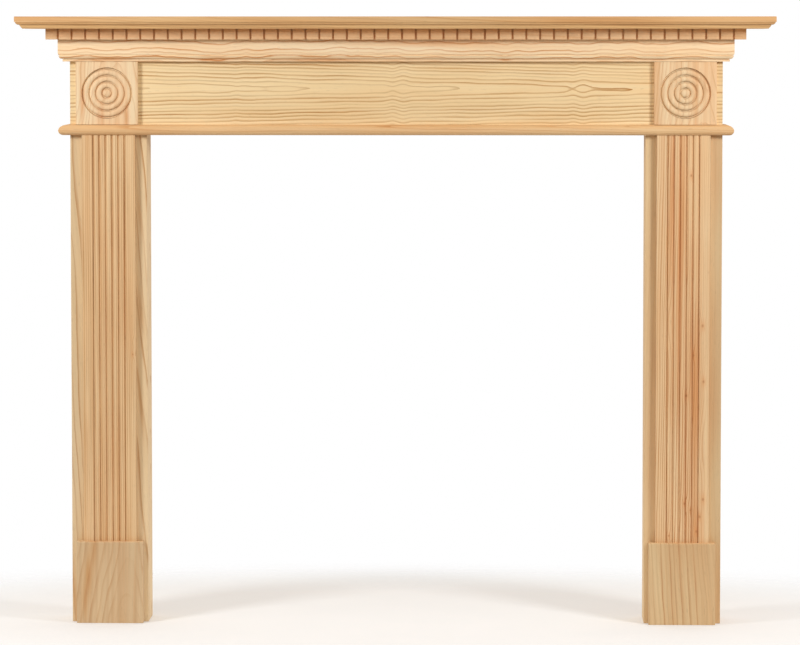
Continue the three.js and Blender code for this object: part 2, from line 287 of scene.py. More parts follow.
def log_position_and_facing(tree, cut):
    turn, shift = log_frame(cut)
    here = add_node(tree, "ShaderNodeTexCoord")
    position = add_node(tree, "ShaderNodeMapping", {}, {
        "Vector": here.outputs["Object"],
        "Location": shift,
        "Rotation": turn,
    })
    facing = add_node(tree, "ShaderNodeMapping", {}, {"Vector": here.outputs["Normal"], "Rotation": turn})
    return position, facing


print("the origin in a log that lies 60 mm behind:", into_log({"heart": (0, 60, 0)}, (0, 0, 0)))

# %% [markdown]
# Knots, kinks and stains.
# A branch pushes the rings aside, and resin stains the wood round it. One soft bump, strongest at its centre
# and gone a few millimetres away, serves for all of these: it bends the lines, darkens a knot or lays a
# stain, and it also lays the few bands of painted light and painted shade. Its reach is told along the grain,
# in depth and across the grain. A reach of zero in one direction means that the bump runs right through in
# that direction.

# %% A soft bump at one place
def bump_at(tree, position, centre, reach):
    scale = [0 if r == 0 else 1 / (r * MM) for r in reach]
    off = add_node(tree, "ShaderNodeVectorMath", {"operation": "SUBTRACT"}, {0: position, 1: centre})
    sized = add_node(tree, "ShaderNodeVectorMath", {"operation": "MULTIPLY"}, {0: off, 1: scale})
    square = add_node(tree, "ShaderNodeVectorMath", {"operation": "DOT_PRODUCT"}, {0: sized, 1: sized})
    negative = add_node(tree, "ShaderNodeMath", {"operation": "MULTIPLY"}, {
        0: square.outputs["Value"],
        1: -1.0,
    })
    return add_node(tree, "ShaderNodeMath", {"operation": "EXPONENT"}, {0: negative})


# %% [markdown]
# How a log wanders.
# No log is a perfect cone. A point is moved sideways by a few noises before its rings are counted,
# the slowest for the bow of the whole trunk and the quickest for the tremble of a single line.
# Noise cells are long along the grain and narrow across it.

# %% Sways
def grain_scale(along, across):
    # For noise cells so long and so wide, in millimetres
    return 1 / (along * MM), 1 / (across * MM), 1 / (across * MM)


def swayed(tree, position, cut):
    moved = position
    for size, length, width in cut.get("sways", ()):
        cells = add_node(tree, "ShaderNodeVectorMath", {"operation": "MULTIPLY"}, {
            0: position,
            1: grain_scale(length, width),
        })
        noise = add_node(tree, "ShaderNodeTexNoise", {}, {"Vector": cells, "Scale": 1.0, "Detail": 1.0})
        centred = add_node(tree, "ShaderNodeVectorMath", {"operation": "SUBTRACT"}, {
            0: noise.outputs["Color"],
            1: (0.5, 0.5, 0.5),
        })
        moved = add_node(tree, "ShaderNodeVectorMath", {"operation": "MULTIPLY_ADD"}, {
            0: centred,
            1: (0, 2 * size * MM, 2 * size * MM),
            2: moved,
        })
    return moved


# %% [markdown]
# Counting rings.
# The count is the distance from the heart line over the width of one ring. The taper makes it
# grow slowly along the board, which closes the arches to points. Bends and knots push it back
# near their places, and a noise along the count itself makes some years wider than others.

# %% Ring count
def ring_count(tree, position, cut):
    moved = swayed(tree, position, cut)
    flat = add_node(tree, "ShaderNodeVectorMath", {"operation": "MULTIPLY"}, {0: moved, 1: (0, 1, 1)})
    radius = add_node(tree, "ShaderNodeVectorMath", {"operation": "LENGTH"}, {0: flat})
    along = add_node(tree, "ShaderNodeSeparateXYZ", {}, {0: moved})
    total = add_node(tree, "ShaderNodeMath", {"operation": "MULTIPLY_ADD"}, {
        0: along.outputs["X"],
        1: cut.get("taper", 0),
        2: radius.outputs["Value"],
    })
    bends = list(cut.get("bends", ()))
    bends += [(place, (6 * size, 0, 3 * size), 0.9 * size) for place, size in cut.get("knots", ())]
    for place, reach, push in bends:
        total = add_node(tree, "ShaderNodeMath", {"operation": "MULTIPLY_ADD"}, {
            0: bump_at(tree, position, into_log(cut, place), reach),
            1: -push * MM,
            2: total,
        })
    per_ring = 1 / (cut["ring"] * MM)
    years = add_node(tree, "ShaderNodeTexNoise", {"noise_dimensions": "1D"}, {
        "W": total,
        "Scale": 0.22 * per_ring,
        "Detail": 0.0,
    })
    count = add_node(tree, "ShaderNodeMath", {"operation": "MULTIPLY"}, {0: total, 1: per_ring})
    count = add_node(tree, "ShaderNodeMath", {"operation": "MULTIPLY_ADD"}, {
        0: years.outputs["Fac"],
        1: cut.get("uneven", 2.0),
        2: count,
    })
    outward = add_node(tree, "ShaderNodeVectorMath", {"operation": "NORMALIZE"}, {0: flat})
    return count, outward


# %% [markdown]
# How wide a line looks.
# Where a board's face lies flat on a ring, the thin late wood is cut at a shallow angle and would
# spread into a broad brown patch. The boards here show thin lines even there. So the part of the
# year that is left is divided by how squarely the face crosses the ring, the sine of the angle
# between them, which is never taken below THINNEST.

# %% The season at a point
THINNEST = 0.32


def season_at(tree, count, outward, facing):
    alike = add_node(tree, "ShaderNodeVectorMath", {"operation": "DOT_PRODUCT"}, {0: outward, 1: facing})
    square = add_node(tree, "ShaderNodeMath", {"operation": "MULTIPLY"}, {
        0: alike.outputs["Value"],
        1: alike.outputs["Value"],
    })
    rest = add_node(tree, "ShaderNodeMath", {"operation": "SUBTRACT", "use_clamp": True}, {0: 1.0, 1: square})
    sine = add_node(tree, "ShaderNodeMath", {"operation": "SQRT"}, {0: rest})
    crossing = add_node(tree, "ShaderNodeMath", {"operation": "MAXIMUM"}, {0: sine, 1: THINNEST})
    season = add_node(tree, "ShaderNodeMath", {"operation": "FRACT"}, {0: count})
    left = add_node(tree, "ShaderNodeMath", {"operation": "SUBTRACT"}, {0: 1.0, 1: season})
    left = add_node(tree, "ShaderNodeMath", {"operation": "DIVIDE"}, {0: left, 1: crossing})
    return add_node(tree, "ShaderNodeMath", {"operation": "SUBTRACT"}, {0: 1.0, 1: left})


# %% [markdown]
# From the season to late-wood lines.
# A ramp turns the season into darkness: none for most of the year, quickly more at its end, then
# a hard edge where the next spring begins. A random value for each whole ring makes some years
# stronger than others, as weather does.

# %% Late wood
def late_wood(tree, count, season, cut):
    year = add_node(tree, "ShaderNodeMath", {"operation": "FLOOR"}, {0: count})
    weather = add_node(tree, "ShaderNodeTexWhiteNoise", {"noise_dimensions": "1D"}, {"W": year})
    strength = add_node(tree, "ShaderNodeMapRange", {}, {
        "Value": weather.outputs["Value"],
        "To Min": cut.get("weakest", 0.45),
        "To Max": 1.0,
    })
    ramp = add_node(tree, "ShaderNodeValToRGB", {}, {"Fac": season})
    spring = cut.get("spring", 0.5)
    steps = ((0.0, 0.0), (spring, 0.06), (0.5 * spring + 0.47, 0.6), (0.94, 1.0))
    stops = ramp.color_ramp.elements
    while len(stops) < len(steps):
        stops.new(0.5)
    for stop, (place, grey) in zip(stops, steps):
        stop.position = place
        stop.color = (grey, grey, grey, 1)
    line = add_node(tree, "ShaderNodeMath", {"operation": "MULTIPLY"}, {0: ramp, 1: strength})
    return line, weather.outputs["Value"]


# %% [markdown]
# The wood between the lines.
# Five noises lie in the same log. Patches and streaks are slow changes of tone, fibres are the
# fine lines that sanding leaves, canals are the short dark dashes of resin, and fading makes a
# late-wood line come and go along its length. Real fibres and canals are thinner than a pixel
# here, so they are drawn one or two millimetres wide.

# %% Grain noises
GRAIN_NOISES = {
    # Length along the grain and width across it in millimetres, then detail
    "patch": (330, 60, 2.0),
    "streak": (420, 9, 2.0),
    "fibre": (120, 2.2, 3.0),
    "canal": (13, 1.3, 0.0),
    "fading": (150, 14, 1.0),
}
RANGE_SOCKETS = ("Value", "From Min", "From Max", "To Min", "To Max")


def grain_shares(tree, position, cut):
    line = cut.get("line", 0.7)
    ranges = {
        "blushing": ("patch", 0.35, 0.68, 0.0, cut.get("patchy", 0.6)),
        "streaky": ("streak", 0.46, 0.72, 0.0, cut.get("streaky", 0.4)),
        "broken": ("streak", 0.35, 0.6, 0.3, 1.0),
        "fibres": ("fibre", 0.3, 0.7, -1.0, 1.0),
        "dashes": ("canal", 0.70, 0.80, 0.0, cut.get("canals", 0.10)),
        "lines": ("fading", 0.32, 0.68, 0.5 * line, 1.15 * line),
    }
    noises = {}
    for name, (length, width, detail) in GRAIN_NOISES.items():
        cells = add_node(tree, "ShaderNodeVectorMath", {"operation": "MULTIPLY"}, {
            0: position,
            1: grain_scale(length, width),
        })
        noise = add_node(tree, "ShaderNodeTexNoise", {}, {"Vector": cells, "Scale": 1.0, "Detail": detail})
        noises[name] = noise.outputs["Fac"]
    shares = {}
    for name, (noise, *limits) in ranges.items():
        inputs = dict(zip(RANGE_SOCKETS, (noises[noise], *limits)))
        shares[name] = add_node(tree, "ShaderNodeMapRange", {}, inputs)
    return noises, shares


print("noises in each wood:", ", ".join(GRAIN_NOISES))

# %% [markdown]
# Colour in layers.
# Over the pale early wood lie a warmer blush, long streaks and, here and there, a stain, then the
# late-wood lines, and on top a knot with its amber halo. Each layer is a share and a colour, so
# one loop lays them all. Lines are strong or faint from year to year, and calm where the wood hardly shows
# them. A few of the stain layers are painted light and shade, not stains: a painted highlight along the
# shelf's lower edge, and painted shade along the cornice's bottom fillet and on the legs beside the plinths.

# %% Colour of the wood
# Reach along and across the grain in knot radii, strength, what is taken off it, and colour
KNOT_LAYERS = ((4, 1.6, 0.35, 0.0, "#d98f50"), (1.1, 0.8, 0.75, 0.15, "#a8683a"))


def wood_colour(tree, cut, position, late, weather, shares):
    layers = [(shares["blushing"], linear(cut["blush"])), (shares["streaky"], linear(cut["streak"]))]
    # Stains, and on a few boards bands of painted light and painted shade laid the same way
    for place, reach, share in cut.get("stains", ()):
        spread = bump_at(tree, position, into_log(cut, place), reach)
        stain_and_painted_light_share = add_node(tree, "ShaderNodeMath", {"operation": "MULTIPLY"}, {0: spread, 1: shares["broken"]})
        stain_and_painted_light_share = add_node(tree, "ShaderNodeMath", {"operation": "MULTIPLY"}, {0: stain_and_painted_light_share, 1: share})
        layers.append((stain_and_painted_light_share, linear(cut["stain"])))
    lines = add_node(tree, "ShaderNodeMath", {"operation": "MULTIPLY"}, {0: late, 1: shares["lines"]})
    for place, reach in cut.get("calm", ()):
        kept = add_node(tree, "ShaderNodeMath", {"operation": "MULTIPLY_ADD"}, {
            0: bump_at(tree, position, into_log(cut, place), reach),
            1: -0.8,
            2: 1.0,
        })
        lines = add_node(tree, "ShaderNodeMath", {"operation": "MULTIPLY"}, {0: lines, 1: kept})
    brown = add_node(tree, "ShaderNodeValToRGB", {}, {"Fac": weather})
    brown.color_ramp.elements[0].color = linear(cut["late"])
    brown.color_ramp.elements[1].color = linear(cut.get("warm", cut["late"]))
    layers.append((lines, brown))
    for place, size in cut.get("knots", ()):
        for along, across, strength, less, tint in KNOT_LAYERS:
            reach = (along * size, 0, across * size)
            knotty = add_node(tree, "ShaderNodeMath", {"operation": "MULTIPLY_ADD", "use_clamp": True}, {
                0: bump_at(tree, position, into_log(cut, place), reach),
                1: strength,
                2: -less,
            })
            layers.append((knotty, linear(tint)))
    colour = linear(cut["early"])
    for share, tint in layers:
        laid = add_node(tree, "ShaderNodeMix", {"data_type": "RGBA"}, {
            "Factor_Float": share,
            "A_Color": colour,
            "B_Color": tint,
        })
        colour = find_socket(laid.outputs, "Result_Color")
    return colour


# %% [markdown]
# Light and shade in the grain.
# Fibres are a little lighter and darker, resin canals darker. Where the saw or the lathe crossed the log, end
# grain drinks light and is darker too, so the share of the surface's facing that points along the log takes
# some brightness off. On the corner blocks a larger share draws a turned groove darker above and below its
# centre than beside it, partly torn end grain and partly painted shade. On the plinths the share is negative
# and paints the up-facing top lighter, a painted highlight.

# %% Shade of the wood
END_GRAIN_EDGE = 3.0


def wood_shade(tree, cut, facing, shares):
    shade = add_node(tree, "ShaderNodeMath", {"operation": "MULTIPLY_ADD"}, {
        0: shares["fibres"],
        1: cut.get("fibre", 0.03),
        2: 1.0,
    })
    shade = add_node(tree, "ShaderNodeMath", {"operation": "SUBTRACT"}, {0: shade, 1: shares["dashes"]})
    parts = add_node(tree, "ShaderNodeSeparateXYZ", {}, {0: facing})
    end_on = add_node(tree, "ShaderNodeMath", {"operation": "ABSOLUTE"}, {0: parts.outputs["X"]})
    end_on = add_node(tree, "ShaderNodeMath", {"operation": "POWER"}, {0: end_on, 1: END_GRAIN_EDGE})
    # End grain darkens; a larger share is partly painted shade, and a negative share is a painted highlight
    return add_node(tree, "ShaderNodeMath", {"operation": "MULTIPLY_ADD"}, {
        0: end_on,
        1: -cut.get("end", 0.12),
        2: shade,
    })


# %% [markdown]
# The pine itself.
# Softwood that has been planed and sanded and left bare, so it is matt, with only a faint sheen on
# the hard late wood. Its index of refraction is about 1.5, as for all wood. The bump lets the late
# wood stand up by a tenth of a millimetre, as sanding leaves it.

# %% Pine
BUMP_HEIGHT = 0.12 * MM


def pine(name, cut):
    wood = bpy.data.materials.new(name)
    wood.use_nodes = True
    tree = wood.node_tree
    tree.nodes.clear()
    position, facing = log_position_and_facing(tree, cut)
    count, outward = ring_count(tree, position, cut)
    season = season_at(tree, count, outward, facing)
    late, weather = late_wood(tree, count, season, cut)
    noises, shares = grain_shares(tree, position, cut)
    toned = add_node(tree, "ShaderNodeHueSaturation", {}, {
        "Color": wood_colour(tree, cut, position, late, weather, shares),
        "Value": wood_shade(tree, cut, facing, shares),
    })
    height = add_node(tree, "ShaderNodeMath", {"operation": "MULTIPLY_ADD"}, {
        0: noises["fibre"],
        1: 0.5,
        2: late,
    })
    relief = add_node(tree, "ShaderNodeBump", {}, {
        "Strength": 0.4,
        "Distance": BUMP_HEIGHT,
        "Height": height,
    })
    matt = add_node(tree, "ShaderNodeMath", {"operation": "MULTIPLY_ADD"}, {
        0: shares["fibres"],
        1: 0.05,
        2: 0.61,
    })
    sheen = add_node(tree, "ShaderNodeMath", {"operation": "MULTIPLY_ADD"}, {0: late, 1: -0.1, 2: matt})
    surface = add_node(tree, "ShaderNodeBsdfPrincipled", {}, {
        "Base Color": toned,
        "Roughness": sheen,
        "IOR": 1.5,
        "Specular IOR Level": 0.35,
        "Normal": relief,
    })
    add_node(tree, "ShaderNodeOutputMaterial", {}, {"Surface": surface})
    print(name, "has", len(tree.nodes), "nodes")
    return wood


# %% [markdown]
# The woods, one for each board.
# All of it is pine, yet no two boards match: one was sawn flat near the outside of a pale log, so
# it shows arches, another close to the heart, so its lines are wide and wavy, a third on the
# quarter, so they run straight and close. Each entry says where the board's heart line lay, how
# wide its rings are and how fast they taper, and where they sway or bend, all in millimetres. It
# gives the colours of early wood, late wood and its warmer years, the blush between patches and
# the long streaks. Then come the strength of the lines, the share of the year that stays pale
# (spring), the weakest year, and how patchy, streaky and fibrous the wood is.
# The frieze is a flat-sawn board with pointed arches and two kinks, where branches passed near
# its face. The ends of the header were sawn on the quarter and lie front to back, so their front
# edges are end grain, a column of short level ticks.

# %% Woods of the frieze and the header's ends
frieze_pine = pine("plain_sawn_frieze_pine", {
    "heart": (0, 11, 979),
    "along": 0,
    "ring": 6.2,
    "taper": 0.019,
    "uneven": 0.5,
    "sways": ((3.5, 900, 120), (2.6, 75, 24), (0.5, 26, 10)),
    "bends": (
        ((-6, 3, 979), (9, 0, 0), -1.6),
        ((14, 3, 979), (10, 0, 0), 2.2),
        ((323, 3, 979), (9, 0, 0), -1.4),
        ((342, 3, 979), (11, 0, 0), 2.0),
        ((-291, 3, 979), (9, 0, 0), -0.9),
    ),
    "early": "#f6dfb0",
    "late": "#a47a3b",
    "warm": "#b9813f",
    "blush": "#f0cd98",
    "streak": "#f9e7c0",
    "line": 0.9,
    "spring": 0.45,
    "weakest": 0.35,
})
header_end_pine = pine("quarter_sawn_header_end_pine", {
    "heart": (0, 0, -1400),
    "crosswise": True,
    "ring": 6.2,
    "taper": 0.006,
    "uneven": 1.2,
    "sways": ((5, 160, 90), (1.2, 50, 16)),
    "early": "#f5deaf",
    "late": "#a4793a",
    "warm": "#b9813f",
    "blush": "#efcc97",
    "streak": "#f8e6be",
    "line": 0.9,
    "spring": 0.45,
})

# %% [markdown]
# Mouldings are cut from clean strips.
# The cornice came from close under the bark of a slow log, so a few bold orange lines wander over its flat
# face, with stains where they run out at its lower edge. A faint darker orange band along the whole bottom
# fillet, under the ovolo, is painted shade. The dentil strip and the astragal have close rings that hardly
# show.

# %% Woods of the mouldings
cornice_pine = pine("slash_sawn_cornice_pine", {
    "heart": (0, 10, 915),
    "ring": 8.0,
    "taper": 0.002,
    "along": 960,
    "uneven": 1.2,
    "sways": ((9, 50, 220), (7, 300, 150), (0.8, 24, 40)),
    "bends": (
        ((-190, -10, 1035), (60, 0, 10), 6.0),
        ((-545, -10, 1033), (60, 0, 8), 4.0),
    ),
    "early": "#fae8c5",
    "late": "#cc8f4e",
    "warm": "#cd8544",
    "blush": "#f6d3a3",
    "streak": "#f3cb98",
    "line": 1.0,
    "spring": 0.55,
    "weakest": 0.15,
    "stain": "#dc9a57",
    "stains": (
        ((-520, -10, 1034), (50, 0, 5), 0.9),
        ((-325, -10, 1034), (34, 0, 5), 0.9),
        ((-135, -10, 1033), (60, 0, 4), 0.7),
        ((60, -10, 1062), (90, 0, 6), 0.5),
        # Painted shade: a faint darker band along the whole fillet under the ovolo
        ((0, -9, 1030), (900, 0, 3.0), 0.25),
    ),
})
dentil_pine = pine("machined_dentil_pine", {
    "heart": (0, 40, 1040),
    "ring": 3.0,
    "taper": 0.008,
    "along": 300,
    "sways": ((4, 500, 60), (0.5, 40, 10)),
    "early": "#f9d5a9",
    "late": "#dfa469",
    "blush": "#f2bd88",
    "streak": "#ebaf7a",
    "line": 0.5,
    "fibre": 0.06,
})
astragal_pine = pine("moulded_astragal_pine", {
    "heart": (0, 30, 850),
    "ring": 3.6,
    "taper": 0.012,
    "along": 1500,
    "sways": ((5, 520, 60), (0.9, 70, 14)),
    "early": "#e7c392",
    "late": "#c38347",
    "blush": "#daa56d",
    "streak": "#e8cba0",
    "line": 0.65,
    "patchy": 0.8,
    "fibre": 0.05,
})

# %% [markdown]
# The shelf is a darker, orange-tan board.
# Its heart lies far below, so its lines run close and level on the front edge. Along the lower arris a pale
# band is painted over the two slopes, a painted highlight that makes these down-facing slopes as light as the
# fillet above them.

# %% Wood of the shelf
shelf_pine = pine("plain_sawn_shelf_pine", {
    "heart": (0, 20, 985),
    "ring": 4.6,
    "taper": 0.02,
    "along": 200,
    "lean": -0.9,
    "sways": ((8, 420, 70), (1.4, 80, 16)),
    "early": "#e0b782",
    "late": "#b87a41",
    "blush": "#d1985e",
    "streak": "#e4c498",
    # These pale bands along the lower edge are painted light, a painted highlight on the down-facing slopes,
    # not a stain in the wood
    "stains": (
        ((-490, -80, 1091), (310, 0, 6), 0.7),
        ((0, -80, 1091), (310, 0, 6), 0.7),
        ((490, -80, 1091), (310, 0, 6), 0.8),
    ),
    # Colour of that painted highlight
    "stain": "#ffd494",
    "line": 0.55,
    "patchy": 0.7,
    "fibre": 0.05,
})

# %% [markdown]
# The corner blocks stand with their grain upright.
# They are short offcuts of wide boards, streaked and patchy. These two woods darken more than the rest where
# the surface faces along the log, which is the top and bottom of each turned ring: partly the end grain that
# a lathe tears there, and partly painted shade, where light from above leaves those groove walls in shade.

# %% Woods of the corner blocks
left_block_pine = pine("turned_left_block_pine", {
    "heart": (-505, 40, 0),
    "upright": True,
    "ring": 6.5,
    "taper": 0.10,
    "sways": ((7, 110, 60), (1.2, 40, 14)),
    "bends": (((-545, -7, 935), (26, 0, 12), 6.0),),
    "early": "#f2dfba",
    "late": "#c99a61",
    "warm": "#cf8f5a",
    "blush": "#efca9f",
    "streak": "#e2b482",
    "line": 0.6,
    "patchy": 0.9,
    "streaky": 0.6,
    "fibre": 0.05,
    # Partly torn end grain, partly painted shade at the tops and bottoms of the grooves
    "end": 0.36,
    "stain": "#d9935a",
    "stains": (
        ((-540, -7, 930), (22, 0, 6), 0.8),
        ((-571, -7, 950), (26, 0, 4), 0.5),
        ((-490, -7, 930), (20, 0, 5), 0.5),
    ),
})
right_block_pine = pine("turned_right_block_pine", {
    "heart": (556, 34, 0),
    "upright": True,
    "along": 860,
    "ring": 6.0,
    "taper": 0.09,
    "sways": ((7, 110, 60), (1.2, 40, 14)),
    "early": "#efd5ad",
    "late": "#ce9c68",
    "blush": "#ecc294",
    "streak": "#dfab76",
    "line": 0.65,
    "patchy": 0.9,
    "streaky": 0.6,
    "fibre": 0.05,
    # Partly torn end grain, partly painted shade at the tops and bottoms of the grooves
    "end": 0.36,
})

# %% [markdown]
# Leg pine.
# The legs stand upright, so their grain does. The left one leans a little in its log, so its lines cross the
# margin beside the pilaster and run out of its edge. The right one comes from slower-grown, calmer wood with
# faint lines. On both legs the outer margin beside the plinth is painted darker near the foot, painted shade
# from the plinth.

# %% Woods of the legs
left_leg_pine = pine("plain_sawn_left_leg_pine", {
    "heart": (-484, 62, 0),
    "upright": True,
    "lean": 4.5,
    "ring": 9.0,
    "taper": 0.018,
    "uneven": 1.2,
    "sways": ((6, 300, 70), (1.6, 80, 16)),
    "early": "#ebd2aa",
    "late": "#b67d44",
    "blush": "#e4c799",
    "streak": "#d7ba8d",
    "line": 0.85,
    "spring": 0.6,
    "stain": "#cc9050",
    "stains": (
        ((-468, 3, 745), (38, 0, 3.5), 0.7),
        ((-467, 3, 570), (42, 0, 4), 0.7),
        ((-468, 3, 400), (50, 0, 3), 0.5),
        # Painted shade on the outer margin beside the plinth
        ((-591, 3, 40), (110, 0, 5), 0.5),
    ),
})
right_leg_pine = pine("plain_sawn_right_leg_pine", {
    "heart": (516, 80, 0),
    "upright": True,
    "lean": -0.6,
    "along": 1700,
    "ring": 7.0,
    "taper": 0.010,
    "sways": ((5, 420, 70), (1.0, 90, 16)),
    "early": "#e3c699",
    "late": "#c18d5a",
    "blush": "#d9af80",
    "streak": "#e5cda4",
    "line": 0.22,
    "patchy": 0.8,
    # Painted shade: the outer margin beside the plinth is darkened near the foot
    "stain": "#bf8753",
    "stains": (((592, 3, 40), (110, 0, 10), 0.7),),
})

# %% [markdown]
# Pilaster pine.
# The left pilaster was sawn on the quarter, so it is close-grained and straight, with one small knot. The
# right one was sawn on the rift from a brighter log, with orange streaks and a scatter of pin knots that its
# lines bend round. Each knot, stain and calm stretch is placed one by one.

# %% Woods of the pilasters
left_pilaster_pine = pine("quarter_sawn_left_pilaster_pine", {
    "heart": (-380, 20, 0),
    "upright": True,
    "lean": 0.4,
    "ring": 3.8,
    "taper": 0.004,
    "uneven": 1.4,
    "sways": ((3, 500, 60), (0.8, 110, 14)),
    "bends": (((-482, -10, 516), (15, 0, 5), 3.6), ((-481, -10, 494), (9, 0, 4), 2.4)),
    "knots": (((-481, -10, 494), 1.7),),
    "early": "#ebcc9f",
    "late": "#bd8852",
    "blush": "#dfb281",
    "streak": "#d3a16b",
    "line": 0.98,
    "streaky": 0.5,
    "fibre": 0.06,
})
right_pilaster_pine = pine("rift_sawn_right_pilaster_pine", {
    "heart": (648, 24, 0),
    "upright": True,
    "lean": -0.3,
    "along": 700,
    "ring": 4.0,
    "taper": 0.008,
    "uneven": 1.2,
    "sways": ((3.5, 360, 60), (0.9, 80, 14)),
    "bends": (
        ((558, -10, 330), (60, 0, 9), 7.0),
        ((497, -10, 556), (44, 0, 9), 6.0),
    ),
    "knots": (
        ((538, -10, 822), 2.6),
        ((560, -10, 548), 3.0),
        ((562, -10, 446), 2.8),
        ((531, -10, 420), 2.6),
        ((544, -10, 494), 2.2),
        ((562, -10, 230), 3.0),
        ((528, -10, 222), 2.4),
        ((539, -10, 210), 2.0),
        ((556, -10, 198), 2.6),
        ((550, -10, 171), 2.8),
        ((500, -10, 163), 1.8),
    ),
    "early": "#eccda1",
    "late": "#bf7c44",
    "blush": "#e2b17b",
    "streak": "#d59358",
    "line": 1.35,
    "spring": 0.62,
    "streaky": 0.3,
    "fibre": 0.05,
    "stain": "#d58a47",
    "stains": (
        ((503, -10, 770), (150, 0, 6), 0.6),
        ((518, -10, 690), (210, 0, 6), 0.6),
        ((546, -10, 400), (170, 0, 7), 0.6),
        ((532, -10, 250), (130, 0, 9), 0.6),
        ((550, -10, 185), (50, 0, 10), 0.6),
    ),
    "calm": (((568, -10, 500), (900, 0, 12)), ((545, -10, 800), (160, 0, 14))),
})

# %% [markdown]
# Plinth pine.
# The plinths are short offcuts of wide board, so their lines are broad and few. The left one was cut near the
# heart and shows long arches, the right one leaning lines. Their tops are sawn end grain, and their share for
# end grain is negative, so it lightens instead: the up-facing top and its arris are painted lighter, a
# painted highlight where light from above falls.

# %% Woods of the plinths
left_plinth_pine = pine("plain_sawn_left_plinth_pine", {
    "heart": (-492, 2, 0),
    "upright": True,
    "lean": -1,
    "along": 122,
    "ring": 12,
    "taper": 0.16,
    "uneven": 1.6,
    "sways": ((6, 110, 40), (2.2, 45, 16)),
    "early": "#d7be97",
    "late": "#b07a48",
    "warm": "#b8814f",
    "blush": "#cca67c",
    "streak": "#b7885a",
    "line": 0.55,
    "spring": 0.55,
    "weakest": 0.25,
    "patchy": 0.6,
    "streaky": 0.4,
    # Negative: paints the up-facing top and its arris lighter, a painted highlight
    "end": -0.2,
    "fibre": 0.05,
    "stain": "#c28848",
    "stains": (
        ((-555, -19, 138), (36, 0, 6), 0.75),
        ((-563, -19, 92), (40, 0, 7), 0.8),
        ((-571, -19, 40), (40, 0, 5), 0.6),
    ),
    "calm": (((-488, -19, 122), (50, 0, 22)),),
})
right_plinth_pine = pine("plain_sawn_right_plinth_pine", {
    "heart": (640, 30, 0),
    "upright": True,
    "lean": 5,
    "along": 400,
    "ring": 9,
    "taper": 0.03,
    "uneven": 2.2,
    "sways": ((5, 200, 70), (1.2, 60, 18)),
    "early": "#dabe92",
    "late": "#ab7c4c",
    "warm": "#b57c4a",
    "blush": "#d0a97b",
    "streak": "#c99d6d",
    "line": 0.85,
    "spring": 0.6,
    "weakest": 0.25,
    # Negative: paints the up-facing top and its arris lighter, a painted highlight
    "end": -0.2,
    "calm": (((575, -19, 75), (200, 0, 12)),),
    "patchy": 0.8,
    "fibre": 0.05,
})

# %% [markdown]
# Taking a place in the frame.
# Each finished piece rides on the one body and stands for the plain solid of the same part. This is the same
# for every piece, so it is one function, and it reports the piece's size.

# %% Put a piece in its place
def stand_for(piece, node):
    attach(piece, "root")
    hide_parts(node)
    corners = [Vector(c) for c in piece.bound_box]
    size = [round((max(c[a] for c in corners) - min(c[a] for c in corners)) / MM, 1) for a in range(3)]
    print(piece.name, "is", size, "mm, faces:", len(piece.data.polygons))
    return piece


def new_piece(name, shape, wood):
    mesh = bpy.data.meshes.new(name)
    bmesh.ops.recalc_face_normals(shape, faces=shape.faces[:])
    shape.to_mesh(mesh)
    shape.free()
    mesh.materials.append(wood)
    piece = bpy.data.objects.new(name, mesh)
    bpy.context.scene.collection.objects.link(piece)
    return piece


# %% [markdown]
# Planed boards.
# A board comes off the planer with knife-sharp edges, and a joiner takes them off with a pass of
# fine paper. That arris is only half a millimetre, yet it catches a line of light, and where two
# boards meet it leaves the thin groove by which the eye finds the joint. So each board is a box
# with all its edges rounded in mesh.

# %% Boards
SANDED_ARRIS = 0.5 * MM
ARRIS_STEPS = 2


def board(name, node, wood):
    low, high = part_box(node)
    shape = bmesh.new()
    size = Matrix.Diagonal((*(high - low), 1))
    bmesh.ops.create_cube(shape, size=1, matrix=Matrix.Translation((low + high) / 2) @ size)
    bmesh.ops.bevel(
        shape,
        geom=shape.edges[:],
        offset=SANDED_ARRIS,
        segments=ARRIS_STEPS,
        profile=0.5,
        affect="EDGES",
    )
    return stand_for(new_piece(name, shape, wood), node)


SIDES = {"left": -1, "right": 1}
leg_pines = {"left": left_leg_pine, "right": right_leg_pine}

board("planed_frieze_board", "frieze_board", frieze_pine)
board("planed_header_soffit", "header_soffit", right_leg_pine)
for side in SIDES:
    board(f"planed_header_end_{side}", f"header_end_{side}", header_end_pine)
    board(f"planed_leg_board_{side}", f"leg_board_{side}", leg_pines[side])
    for place in ("outer", "inner"):
        node = f"leg_{place}_{side}"
        board(f"planed_{node}", node, leg_pines[side])

# %% [markdown]
# Sections.
# A moulding is one outline, its section, run along a line. The section is a closed curve of
# points that stand out from the wall by a projection and up by a height. Its sharp corners are
# eased a little, as a cutter leaves them, by a short curve in place of each corner.

# %% Sections
SHARP_CORNER = math.radians(160)
EASE_STEPS = 3


def eased(corners, radius):
    points = []
    for index, corner in enumerate(corners):
        back = corners[index - 1] - corner
        on = corners[(index + 1) % len(corners)] - corner
        if back.angle(on) > SHARP_CORNER:
            points.append(corner)
            continue
        reach = min(radius, 0.4 * back.length, 0.4 * on.length)
        start = corner + back.normalized() * reach
        end = corner + on.normalized() * reach
        for step in range(EASE_STEPS + 1):
            t = step / EASE_STEPS
            points.append(start * (1 - t) ** 2 + corner * 2 * t * (1 - t) + end * t ** 2)
    return points


def arc(centre, radii, start, end, steps):
    turns = [math.radians(start + (end - start) * step / steps) for step in range(steps + 1)]
    return [
        Vector((centre[0] + radii[0] * math.cos(turn), centre[1] + radii[1] * math.sin(turn)))
        for turn in turns
    ]


